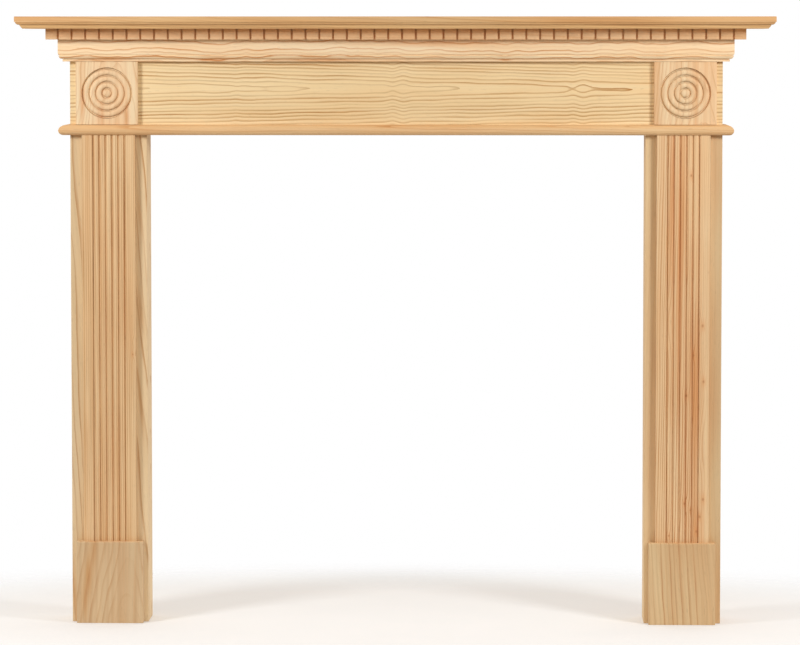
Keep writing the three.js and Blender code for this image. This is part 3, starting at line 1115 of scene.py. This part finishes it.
def section_curve(name, points):
    curve = bpy.data.curves.new(name, "CURVE")
    curve.dimensions = "3D"
    spline = curve.splines.new("POLY")
    spline.points.add(len(points) - 1)
    for spline_point, point in zip(spline.points, points):
        spline_point.co = (point.x * MM, point.y * MM, 0, 1)
    spline.use_cyclic_u = True
    section = bpy.data.objects.new(name, curve)
    bpy.context.scene.collection.objects.link(section)
    return section


# %% [markdown]
# Growing a mesh from a node tree.
# What repeats or runs along a line is made by Geometry Nodes. A tree gets named inputs, and ends
# in Realize Instances and Set Material. An empty mesh carries it as a modifier, its inputs are set
# by their identifiers, and the result is taken as a plain mesh, because only a plain mesh can be
# exported. The welding of double points closes the seams that a sweep leaves at its caps.

# %% Growing a mesh from a node tree
def new_tree(name, sockets):
    tree = bpy.data.node_groups.new(name, "GeometryNodeTree")
    for label, kind in sockets.items():
        tree.interface.new_socket(name=label, in_out="INPUT", socket_type="NodeSocket" + kind)
    tree.interface.new_socket(name="Geometry", in_out="OUTPUT", socket_type="NodeSocketGeometry")
    return tree, tree.nodes.new("NodeGroupInput")


def end_tree(tree, given, geometry):
    real = add_node(tree, "GeometryNodeRealizeInstances", {}, {"Geometry": geometry})
    painted = add_node(tree, "GeometryNodeSetMaterial", {}, {
        "Geometry": real,
        "Material": given.outputs["Finish"],
    })
    add_node(tree, "NodeGroupOutput", {}, {"Geometry": painted})


def grow(name, tree, values):
    seed_mesh = bpy.data.meshes.new(name)
    seed = bpy.data.objects.new(name, seed_mesh)
    bpy.context.scene.collection.objects.link(seed)
    modifier = seed.modifiers.new(name, "NODES")
    modifier.node_group = tree
    for item in tree.interface.items_tree:
        if item.in_out == "INPUT":
            modifier[item.identifier] = values[item.name]
    graph = bpy.context.evaluated_depsgraph_get()
    mesh = bpy.data.meshes.new_from_object(seed.evaluated_get(graph), depsgraph=graph)
    seed.modifiers.remove(modifier)
    shape = bmesh.new()
    shape.from_mesh(mesh)
    bmesh.ops.remove_doubles(shape, verts=shape.verts[:], dist=0.002 * MM)
    bmesh.ops.recalc_face_normals(shape, faces=shape.faces[:])
    shape.to_mesh(mesh)
    shape.free()
    seed.data = mesh
    bpy.data.meshes.remove(seed_mesh)
    mesh.name = name
    return seed


# %% [markdown]
# A node tree that runs a moulding.
# Curve to Mesh sweeps the section up one unit, and Set Position then lays it out: the point's
# projection moves it outwards, and its place along the run blends between the two ends. Each end
# has its own mitre, a direction in which it runs on by the projection, so two runs that turn a
# corner meet at 45 degrees, as they do from a mitre saw. One tree serves all the mouldings.

# %% The moulding tree
moulding_tree, given = new_tree("run_a_moulding", {
    "Section": "Object",
    "Start": "Vector",
    "End": "Vector",
    "Outwards": "Vector",
    "Start mitre": "Vector",
    "End mitre": "Vector",
    "Finish": "Material",
})
section = add_node(moulding_tree, "GeometryNodeObjectInfo", {}, {"Object": given.outputs["Section"]})
unit_run = add_node(moulding_tree, "GeometryNodeCurvePrimitiveLine", {}, {"End": (0, 0, 1)})
swept = add_node(moulding_tree, "GeometryNodeCurveToMesh", {}, {
    "Curve": unit_run,
    "Profile Curve": section.outputs["Geometry"],
    "Fill Caps": True,
})
place = add_node(moulding_tree, "GeometryNodeInputPosition")
parts = add_node(moulding_tree, "ShaderNodeSeparateXYZ", {}, {0: place})
ends = []
for end in ("Start", "End"):
    slant = add_node(moulding_tree, "ShaderNodeVectorMath", {"operation": "ADD"}, {
        0: given.outputs["Outwards"],
        1: given.outputs[f"{end} mitre"],
    })
    out = add_node(moulding_tree, "ShaderNodeVectorMath", {"operation": "SCALE"}, {
        0: slant,
        "Scale": parts.outputs["X"],
    })
    ends.append(add_node(moulding_tree, "ShaderNodeVectorMath", {"operation": "ADD"}, {
        0: out,
        1: given.outputs[end],
    }))
on_run = add_node(moulding_tree, "ShaderNodeMix", {"data_type": "VECTOR"}, {
    "Factor_Float": parts.outputs["Z"],
    "A_Vector": ends[0],
    "B_Vector": ends[1],
})
rise = add_node(moulding_tree, "ShaderNodeCombineXYZ", {}, {"Z": parts.outputs["Y"]})
laid = add_node(moulding_tree, "ShaderNodeVectorMath", {"operation": "ADD"}, {
    0: find_socket(on_run.outputs, "Result_Vector"),
    1: rise,
})
moulded = add_node(moulding_tree, "GeometryNodeSetPosition", {}, {"Geometry": swept, "Position": laid})
end_tree(moulding_tree, given, moulded)

# %% [markdown]
# Runs round the header.
# Each moulding goes along the front and back to the wall on both sides. The front run is mitred at
# both ends, and a side run only at its front end, because the other one butts against the wall.

# %% Runs along the front and the sides
wall_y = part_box("shelf")[1].y
face_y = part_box("frieze_board")[0].y
side_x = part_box("frieze_board")[1].x


def front_run(name, section, level, wood):
    return grow(name, moulding_tree, {
        "Section": section,
        "Start": Vector((-side_x, face_y, level)),
        "End": Vector((side_x, face_y, level)),
        "Outwards": Vector((0, -1, 0)),
        "Start mitre": Vector((-1, 0, 0)),
        "End mitre": Vector((1, 0, 0)),
        "Finish": wood,
    })


def side_run(name, section, level, wood, side):
    return grow(name, moulding_tree, {
        "Section": section,
        "Start": Vector((side * side_x, face_y, level)),
        "End": Vector((side * side_x, wall_y, level)),
        "Outwards": Vector((side, 0, 0)),
        "Start mitre": Vector((0, -1, 0)),
        "End mitre": Vector((0, 0, 0)),
        "Finish": wood,
    })


def run_round(label, node_label, section, wood):
    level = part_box(f"{node_label}_front")[0].z
    stand_for(front_run(f"{label}_front", section, level, wood), f"{node_label}_front")
    for side, sign in SIDES.items():
        piece = side_run(f"{label}_{side}", section, level, wood, sign)
        stand_for(piece, f"{node_label}_{side}")
    bpy.data.objects.remove(section)


# %% [markdown]
# The cornice.
# Seen from below, it is a narrow fillet, an undercut quirk, a full ovolo with a V groove scored
# across it, and a tall flat face that carries the dentils. The flat takes the light, the ovolo
# rolls it away downwards, and the quirk and the groove draw thin dark lines over the frieze. A
# true quarter round would look softer, so the ovolo is a slightly squarer curve.

# %% Cornice
cornice_height = (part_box("cornice_front")[1].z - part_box("cornice_front")[0].z) / MM
cornice_out = (face_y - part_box("cornice_front")[0].y) / MM
CORNICE_FILLET_OUT = 12
CORNICE_FILLET_HEIGHT = 4.8
CORNICE_QUIRK = 1
CORNICE_OVOLO_HEIGHT = 13
CORNICE_QUIRK_DEPTH = 2.0
CORNICE_QUIRK_HEIGHT = 0.9
CORNICE_FULLNESS = 2.2
CORNICE_GROOVE = 11.4
CORNICE_GROOVE_HALF = 0.9
CORNICE_GROOVE_DEPTH = 2.0

ovolo_centre = (CORNICE_FILLET_OUT + CORNICE_QUIRK, CORNICE_FILLET_HEIGHT + CORNICE_OVOLO_HEIGHT)
ovolo_radii = (cornice_out - ovolo_centre[0], CORNICE_OVOLO_HEIGHT)
ovolo = [
    Vector((
        ovolo_centre[0] + ovolo_radii[0] * max(point.x, 0) ** (2 / CORNICE_FULLNESS),
        ovolo_centre[1] - ovolo_radii[1] * max(-point.y, 0) ** (2 / CORNICE_FULLNESS),
    ))
    for point in arc((0, 0), (1, 1), -90, 0, 30)
]
below_groove = [point for point in ovolo if point.y < CORNICE_GROOVE - CORNICE_GROOVE_HALF]
above_groove = [point for point in ovolo if point.y > CORNICE_GROOVE + CORNICE_GROOVE_HALF]
groove_floor = Vector((below_groove[-1].x - CORNICE_GROOVE_DEPTH, CORNICE_GROOVE))
cornice_section = section_curve("cornice_section", eased([
    Vector((0, 0)),
    Vector((CORNICE_FILLET_OUT, 0)),
    Vector((CORNICE_FILLET_OUT, CORNICE_FILLET_HEIGHT - CORNICE_QUIRK_HEIGHT)),
    Vector((CORNICE_FILLET_OUT - CORNICE_QUIRK_DEPTH, CORNICE_FILLET_HEIGHT)),
    *below_groove,
    groove_floor,
    *above_groove,
    Vector((cornice_out, cornice_height)),
    Vector((0, cornice_height)),
], 0.4))
run_round("moulded_cornice", "cornice", cornice_section, cornice_pine)

# %% [markdown]
# The astragal.
# A round-nosed band between the frieze and the legs. Its nose isn't a half round: from its tip,
# which lies below the middle, a short quarter ellipse turns under and a long one runs back to the
# top, so the light fades slowly over its upper side.

# %% Astragal
astragal_height = (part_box("astragal_front")[1].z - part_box("astragal_front")[0].z) / MM
astragal_out = (face_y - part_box("astragal_front")[0].y) / MM
ASTRAGAL_TIP = 8.4
ASTRAGAL_UNDER = 9
ASTRAGAL_OVER = 15.5

below_tip = arc((astragal_out - ASTRAGAL_UNDER, ASTRAGAL_TIP), (ASTRAGAL_UNDER, ASTRAGAL_TIP), -90, 0, 20)
above_tip = arc(
    (astragal_out - ASTRAGAL_OVER, ASTRAGAL_TIP),
    (ASTRAGAL_OVER, astragal_height - ASTRAGAL_TIP),
    0, 90, 24,
)
astragal_section = section_curve("astragal_section", eased([
    Vector((0, 0)),
    *below_tip,
    *above_tip[1:],
    Vector((0, astragal_height)),
], 0.3))
run_round("moulded_astragal", "astragal", astragal_section, astragal_pine)

# %% [markdown]
# The dentils.
# A dentil strip is a plain square moulding with slots sawn across its face at one pitch. So the
# strip is run by the moulding tree, and a second tree saws it: a line of points, a small box on
# each, and a boolean difference.

# %% The dentil tree
dentil_tree, given = new_tree("saw_dentil_slots", {
    "Strip": "Object",
    "First slot": "Vector",
    "Step": "Vector",
    "Slots": "Int",
    "Saw": "Vector",
    "Finish": "Material",
})
strip = add_node(dentil_tree, "GeometryNodeObjectInfo", {}, {"Object": given.outputs["Strip"]})
stations = add_node(dentil_tree, "GeometryNodeMeshLine", {"mode": "OFFSET"}, {
    "Count": given.outputs["Slots"],
    "Start Location": given.outputs["First slot"],
    "Offset": given.outputs["Step"],
})
blade = add_node(dentil_tree, "GeometryNodeMeshCube", {}, {"Size": given.outputs["Saw"]})
blades = add_node(dentil_tree, "GeometryNodeInstanceOnPoints", {}, {
    "Points": stations,
    "Instance": blade.outputs["Mesh"],
})
solid_blades = add_node(dentil_tree, "GeometryNodeRealizeInstances", {}, {"Geometry": blades})
sawn = add_node(dentil_tree, "GeometryNodeMeshBoolean", {"operation": "DIFFERENCE"}, {
    "Mesh 1": strip.outputs["Geometry"],
    "Mesh 2": solid_blades,
})
end_tree(dentil_tree, given, sawn.outputs["Mesh"])

# %% [markdown]
# Sawing the three strips.
# Fifty slots cross the front at one pitch. The slots of the sides start at the corner tooth, so
# the corner shows a full tooth from both directions. Fine paper has broken the arrises of every
# tooth, which a bevel on the sharp edges does.

# %% Dentils
DENTIL_PITCH = 25
DENTIL_SLOT = 3.5
DENTIL_SLOT_DEPTH = 6.5
FRONT_SLOTS = 50
SIDE_SLOTS = 4
SAW_OVERRUN = 4
DENTIL_ARRIS = 0.35 * MM
dentil_low, dentil_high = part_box("dentil_strip_front")
dentil_out = (face_y - dentil_low.y) / MM
dentil_height = (dentil_high.z - dentil_low.z) / MM
strip_back = (face_y - dentil_high.y) / MM
saw_height = dentil_height + 2 * SAW_OVERRUN
saw_reach = 2 * DENTIL_SLOT_DEPTH


def soften_arrises(piece, width):
    soft = piece.modifiers.new("sanded_arrises", "BEVEL")
    soft.width = width
    soft.segments = 1
    soft.limit_method = "ANGLE"
    soft.angle_limit = math.radians(50)


def dentil_strip(name, node, plain, first, step, slots, saw):
    piece = grow(name, dentil_tree, {
        "Strip": plain,
        "First slot": first,
        "Step": step,
        "Slots": slots,
        "Saw": saw * MM,
        "Finish": dentil_pine,
    })
    bpy.data.objects.remove(plain)
    soften_arrises(piece, DENTIL_ARRIS)
    return stand_for(piece, node)


plain_section = section_curve("dentil_section", [
    Vector((strip_back, 0)),
    Vector((dentil_out, 0)),
    Vector((dentil_out, dentil_height)),
    Vector((strip_back, dentil_height)),
])
first_x = -DENTIL_PITCH * (FRONT_SLOTS - 1) / 2 * MM
middle_z = (dentil_low.z + dentil_high.z) / 2
corner_tooth = dentil_high.x + first_x
dentil_strip(
    "sawn_dentils_front",
    "dentil_strip_front",
    front_run("plain_strip", plain_section, dentil_low.z, dentil_pine),
    Vector((first_x, dentil_low.y, middle_z)),
    Vector((DENTIL_PITCH * MM, 0, 0)),
    FRONT_SLOTS,
    Vector((DENTIL_SLOT, saw_reach, saw_height)),
)
for side, sign in SIDES.items():
    dentil_strip(
        f"sawn_dentils_{side}",
        f"dentil_strip_{side}",
        side_run("plain_strip", plain_section, dentil_low.z, dentil_pine, sign),
        Vector((sign * dentil_high.x, dentil_low.y + corner_tooth, middle_z)),
        Vector((0, DENTIL_PITCH * MM, 0)),
        SIDE_SLOTS,
        Vector((saw_reach, DENTIL_SLOT, saw_height)),
    )
bpy.data.objects.remove(plain_section)

# %% [markdown]
# A loft.
# Some pieces are a stack of outlines, each a little larger or deeper than the last: the shelf
# with its moulded edge, and the corner block with its turned rings. A loft joins rings of equally
# many points into one closed skin, with a face over each end.

# %% Loft
def loft(name, rings, wood):
    shape = bmesh.new()
    made = [[shape.verts.new(point) for point in ring] for ring in rings]
    for upper, lower in zip(made, made[1:]):
        count = len(upper)
        for index in range(count):
            after = (index + 1) % count
            shape.faces.new((upper[index], upper[after], lower[after], lower[index]))
    shape.faces.new(made[0])
    shape.faces.new(reversed(made[-1]))
    return new_piece(name, shape, wood)


# %% [markdown]
# The shelf.
# One thick board with a moulding run round its front and ends: a square fillet at the top, then
# two slightly bowed slopes that step back under it, each beneath a narrow quirk that draws a thin
# dark line. The back edge is plain, because it goes against the wall. Each level of the edge is a
# rectangle, set in by the same amount on three sides.

# %% Shelf
SHELF_FILLET = 10.2
SHELF_FILLET_ARRIS = 0.4
SHELF_ARRIS = 1
# Each slope runs between two points, which are an inset and a height above the underside
SHELF_UPPER_SLOPE = ((1.6, 11.4), (6.0, 7.1))
SHELF_LOWER_SLOPE = ((8.4, 6.7), (13.6, 0.0))
SHELF_UPPER_BOW = 0.8
SHELF_LOWER_BOW = 0.3
SHELF_QUIRK_DEPTH = 1.2
BOW_STEPS = 10
shelf_low, shelf_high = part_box("shelf")
shelf_thickness = (shelf_high.z - shelf_low.z) / MM


def bowed(slope, bow):
    start, end = Vector(slope[0]), Vector(slope[1])
    outwards = Vector((end.y - start.y, start.x - end.x)).normalized()
    shares = [step / BOW_STEPS for step in range(BOW_STEPS + 1)]
    return [start.lerp(end, share) + outwards * 4 * bow * share * (1 - share) for share in shares]


fillet_low = shelf_thickness - SHELF_FILLET
shelf_edge = [
    *arc((SHELF_ARRIS, shelf_thickness - SHELF_ARRIS), (SHELF_ARRIS, SHELF_ARRIS), 90, 180, 4),
    Vector((0, fillet_low + SHELF_FILLET_ARRIS)),
    Vector((SHELF_FILLET_ARRIS, fillet_low)),
    Vector((SHELF_UPPER_SLOPE[0][0] + SHELF_QUIRK_DEPTH, fillet_low)),
    *bowed(SHELF_UPPER_SLOPE, SHELF_UPPER_BOW),
    Vector((SHELF_LOWER_SLOPE[0][0] + SHELF_QUIRK_DEPTH, SHELF_UPPER_SLOPE[1][1])),
    *bowed(SHELF_LOWER_SLOPE, SHELF_LOWER_BOW),
]
print("levels in the shelf's edge:", len(shelf_edge))

# %% [markdown]
# The shelf from its levels.
# Every level of the edge gives one rectangle, and the loft joins them from the top down.

# %% Lofting the shelf
def shelf_ring(inset, height):
    left, right = shelf_low.x + inset * MM, shelf_high.x - inset * MM
    front = shelf_low.y + inset * MM
    corners = [(left, front), (right, front), (right, shelf_high.y), (left, shelf_high.y)]
    outline = eased([Vector(corner) for corner in corners], SANDED_ARRIS)
    return [(point.x, point.y, shelf_low.z + height * MM) for point in outline]


shelf = loft("moulded_shelf", [shelf_ring(*point) for point in shelf_edge], shelf_pine)
stand_for(shelf, "shelf")

# %% [markdown]
# The corner blocks.
# A square block is held on a lathe's faceplate, and a pointed tool cuts four narrow grooves into
# its face. Between them the wood is rounded over: a button in the middle and three rings, with
# shoulders a little fuller than a half round. The depth depends only on the distance from the
# centre, so one profile from the middle outwards tells it all.

# %% Depth of the turned face
RING_GROOVES = (8.8, 20.4, 32.2, 44.5)
GROOVE_DEPTH = 4.8
GROOVE_FLOOR = 1.5
CROWN_DEPTH = 0.4
OUTER_SLOPE = 1.6
CIRCLE_POINTS = 96
CROWN_STEPS = 14
RING_FULLNESS = 2.15


def turned_profile():
    # From the middle outwards, each point is a radius and a depth below the face
    crown_rise = GROOVE_DEPTH - CROWN_DEPTH
    points = []
    inner = 0
    for groove in RING_GROOVES:
        outer = groove - GROOVE_FLOOR / 2
        centre, half = ((0, outer) if inner == 0 else ((inner + outer) / 2, (outer - inner) / 2))
        start = 90 if inner == 0 else 180
        for point in arc((0, 0), (1, 1), start, 0, CROWN_STEPS):
            side = math.copysign(abs(point.x) ** (2 / RING_FULLNESS), point.x)
            rise = max(point.y, 0) ** (2 / RING_FULLNESS)
            points.append((centre + half * side, GROOVE_DEPTH - crown_rise * rise))
        inner = groove + GROOVE_FLOOR / 2
    points.append((inner, GROOVE_DEPTH))
    points.append((inner + OUTER_SLOPE, 0))
    return points


print("points in the turned profile:", len(turned_profile()))

# %% [markdown]
# Blocks from their circles.
# Each point of the profile gives a circle, and the last ones open out into the square face, its
# rounded arris and the square back. Sculpting the rings on a fine grid would take many more faces
# and leave their edges rough, while a loft follows them exactly.

# %% Corner blocks
POLE_RADIUS = 0.05
BLOCK_ARRIS = 0.9 * MM


def square_reach(turn):
    return 1 / max(abs(math.cos(turn)), abs(math.sin(turn)))


def corner_block(side, wood):
    low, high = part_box(f"corner_block_{side}")
    centre = (low + high) / 2
    half = Vector(((high.x - low.x) / 2, 0, (high.z - low.z) / 2))
    turns = [2 * math.pi * index / CIRCLE_POINTS for index in range(CIRCLE_POINTS)]

    def circle(radius, depth):
        return [
            (centre.x + radius * MM * math.cos(t), low.y + depth * MM, centre.z + radius * MM * math.sin(t))
            for t in turns
        ]

    def square(inset, y):
        return [
            (
                centre.x + (half.x - inset) * square_reach(t) * math.cos(t),
                y,
                centre.z + (half.z - inset) * square_reach(t) * math.sin(t),
            )
            for t in turns
        ]

    rings = [circle(max(radius, POLE_RADIUS), depth) for radius, depth in turned_profile()]
    arris = BLOCK_ARRIS
    rings += [square(arris, low.y), square(0.3 * arris, low.y + 0.3 * arris), square(0, low.y + arris)]
    rings += [square(0, high.y)]
    piece = loft(f"turned_corner_block_{side}", rings, wood)
    return stand_for(piece, f"corner_block_{side}")


corner_block("left", left_block_pine)
corner_block("right", right_block_pine)

# %% [markdown]
# The reeded pilasters.
# A spindle moulder runs five rounded reeds down a board, with a narrow quirk between each pair.
# Five cylinders set into a board would miss the full shoulders of real reeds and leave seams. The
# section follows one rule, so a node tree makes it: a rectangle is divided into fine steps, and
# each point on its front sinks by a depth worked out from its distance to the nearest reed.

# %% The reeding tree
reeding_tree, given = new_tree("reed_a_board", {
    "Width": "Float",
    "Thickness": "Float",
    "Reeds": "Int",
    "Pitch": "Float",
    "Quirk": "Float",
    "Depth": "Float",
    "Fullness": "Float",
    "Arris": "Float",
    "Step": "Float",
    "Foot": "Vector",
    "Top": "Vector",
    "Finish": "Material",
})
outline = add_node(reeding_tree, "GeometryNodeCurvePrimitiveQuadrilateral", {}, {
    "Width": given.outputs["Width"],
    "Height": given.outputs["Thickness"],
})
stepped = add_node(reeding_tree, "GeometryNodeResampleCurve", {"mode": "LENGTH"}, {
    "Curve": outline,
    "Length": given.outputs["Step"],
})
place = add_node(reeding_tree, "GeometryNodeInputPosition")
spot = add_node(reeding_tree, "ShaderNodeSeparateXYZ", {}, {0: place})
print("inputs of the reeding tree:", [item.name for item in reeding_tree.interface.items_tree])

# %% [markdown]
# The reeding rule.
# Each line of the rule is a name, an operation, and what it works on: an input, an earlier name
# or a number. A point's distance from the middle of its nearest reed, as a share of half a reed,
# gives the height of the crown, and outside the bed of reeds the board stays flat. The outer
# arrises are rounded by the same rule. Only the front moves, which is the section's lower side,
# because the sweep keeps that towards -Y.

# %% The reeding rule
reeding_rule = (
    ("reed width", "SUBTRACT", "Pitch", "Quirk"),
    ("half a reed", "MULTIPLY", "reed width", 0.5),
    ("bed width", "MULTIPLY_ADD", "Pitch", "Reeds", "Quirk"),
    ("half the bed", "MULTIPLY", "bed width", 0.5),
    ("pitches across", "DIVIDE", "across", "Pitch"),
    ("nearest reed", "ROUND", "pitches across"),
    ("middle of the reed", "MULTIPLY", "nearest reed", "Pitch"),
    ("from the middle", "SUBTRACT", "across", "middle of the reed"),
    ("signed share", "DIVIDE", "from the middle", "half a reed"),
    ("free share", "ABSOLUTE", "signed share"),
    ("share", "MINIMUM", "free share", 1.0),
    ("raised share", "POWER", "share", "Fullness"),
    ("rest of the reed", "SUBTRACT", 1.0, "raised share"),
    ("root", "DIVIDE", 1.0, "Fullness"),
    ("crown", "POWER", "rest of the reed", "root"),
    ("below the crown", "SUBTRACT", 1.0, "crown"),
    ("sunk", "MULTIPLY", "Depth", "below the crown"),
    ("off the centre line", "ABSOLUTE", "across"),
    ("in the bed", "LESS_THAN", "off the centre line", "half the bed"),
    ("reeded", "MULTIPLY", "sunk", "in the bed"),
    ("half the board", "MULTIPLY", "Width", 0.5),
    ("start of the arris", "SUBTRACT", "half the board", "Arris"),
    ("signed way past it", "SUBTRACT", "off the centre line", "start of the arris"),
    ("way past it", "MAXIMUM", "signed way past it", 0.0),
    ("arris share", "DIVIDE", "way past it", "Arris"),
    ("arris square", "MULTIPLY", "arris share", "arris share"),
    ("rest of the arris", "SUBTRACT", 1.0, "arris square"),
    ("height of the arris", "SQRT", "rest of the arris"),
    ("rounded off", "SUBTRACT", 1.0, "height of the arris"),
    ("lost", "MULTIPLY_ADD", "rounded off", "Arris", "reeded"),
    ("half a step", "MULTIPLY", "Step", 0.5),
    ("level of the front", "MULTIPLY_ADD", "Thickness", -0.5, "half a step"),
    ("at the front", "LESS_THAN", "through", "level of the front"),
    ("cut away", "MULTIPLY", "lost", "at the front"),
)
known = {"across": spot.outputs["X"], "through": spot.outputs["Y"]}
known.update((socket.name, socket) for socket in given.outputs if socket.name)
for name, operation, *terms in reeding_rule:
    inputs = {index: known.get(term, term) for index, term in enumerate(terms)}
    known[name] = add_node(reeding_tree, "ShaderNodeMath", {"operation": operation}, inputs)
print("steps in the reeding rule:", len(reeding_rule))

# %% [markdown]
# From the section to the board.
# The section's points move by the rule, and Curve to Mesh runs the shaped section up from the
# pilaster's foot to its top.

# %% Running the reeded section
offset = add_node(reeding_tree, "ShaderNodeCombineXYZ", {}, {"Y": known["cut away"]})
shaped = add_node(reeding_tree, "GeometryNodeSetPosition", {}, {"Geometry": stepped, "Offset": offset})
upward = add_node(reeding_tree, "GeometryNodeCurvePrimitiveLine", {}, {
    "Start": given.outputs["Foot"],
    "End": given.outputs["Top"],
})
swept = add_node(reeding_tree, "GeometryNodeCurveToMesh", {}, {
    "Curve": upward,
    "Profile Curve": shaped,
    "Fill Caps": True,
})
end_tree(reeding_tree, given, swept)

# %% [markdown]
# Two pilasters from one tree.
# Both have the same five reeds. Only their places and their woods differ, so one function fills
# in the tree's inputs. A reed is a little squarer than a half round, and its quirk is 1.8 mm.

# %% Pilasters
REEDS = 5
REED_PITCH = 11.6
REED_QUIRK = 1.8
REED_DEPTH = 4
REED_STEP = 0.2
PILASTER_ARRIS = 0.8
REED_FULLNESS = 2.6


def pilaster(side, wood):
    low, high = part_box(f"pilaster_{side}")
    centre = (low + high) / 2
    piece = grow(f"reeded_pilaster_{side}", reeding_tree, {
        "Width": high.x - low.x,
        "Thickness": high.y - low.y,
        "Reeds": REEDS,
        "Pitch": REED_PITCH * MM,
        "Quirk": REED_QUIRK * MM,
        "Depth": REED_DEPTH * MM,
        "Fullness": REED_FULLNESS,
        "Arris": PILASTER_ARRIS * MM,
        "Step": REED_STEP * MM,
        "Foot": Vector((centre.x, centre.y, low.z)),
        "Top": Vector((centre.x, centre.y, high.z)),
        "Finish": wood,
    })
    return stand_for(piece, f"pilaster_{side}")


pilaster("left", left_pilaster_pine)
pilaster("right", right_pilaster_pine)

# %% [markdown]
# The plinth blocks.
# Each leg stands on a thick plain block in front of its board. Its top front edge has a larger arris than the
# rest, which catches the light as a thin bright line above the block's flat face. The plinth woods also paint
# that edge and the top lighter, a painted highlight. The other edges are only sanded.

# %% Plinths
PLINTH_TOP_ARRIS = 2.6 * MM
PLINTH_ARRIS_STEPS = 4


def plinth(side, wood):
    low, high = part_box(f"plinth_{side}")
    shape = bmesh.new()
    size = Matrix.Diagonal((*(high - low), 1))
    bmesh.ops.create_cube(shape, size=1, matrix=Matrix.Translation((low + high) / 2) @ size)
    near = SANDED_ARRIS
    top_edge = [
        edge for edge in shape.edges
        if all(abs(v.co.z - high.z) < near and abs(v.co.y - low.y) < near for v in edge.verts)
    ]
    bmesh.ops.bevel(
        shape,
        geom=top_edge,
        offset=PLINTH_TOP_ARRIS,
        segments=PLINTH_ARRIS_STEPS,
        profile=0.5,
        affect="EDGES",
    )
    piece = new_piece(f"sanded_plinth_{side}", shape, wood)
    soften_arrises(piece, SANDED_ARRIS)
    return stand_for(piece, f"plinth_{side}")


plinth("left", left_plinth_pine)
plinth("right", right_plinth_pine)
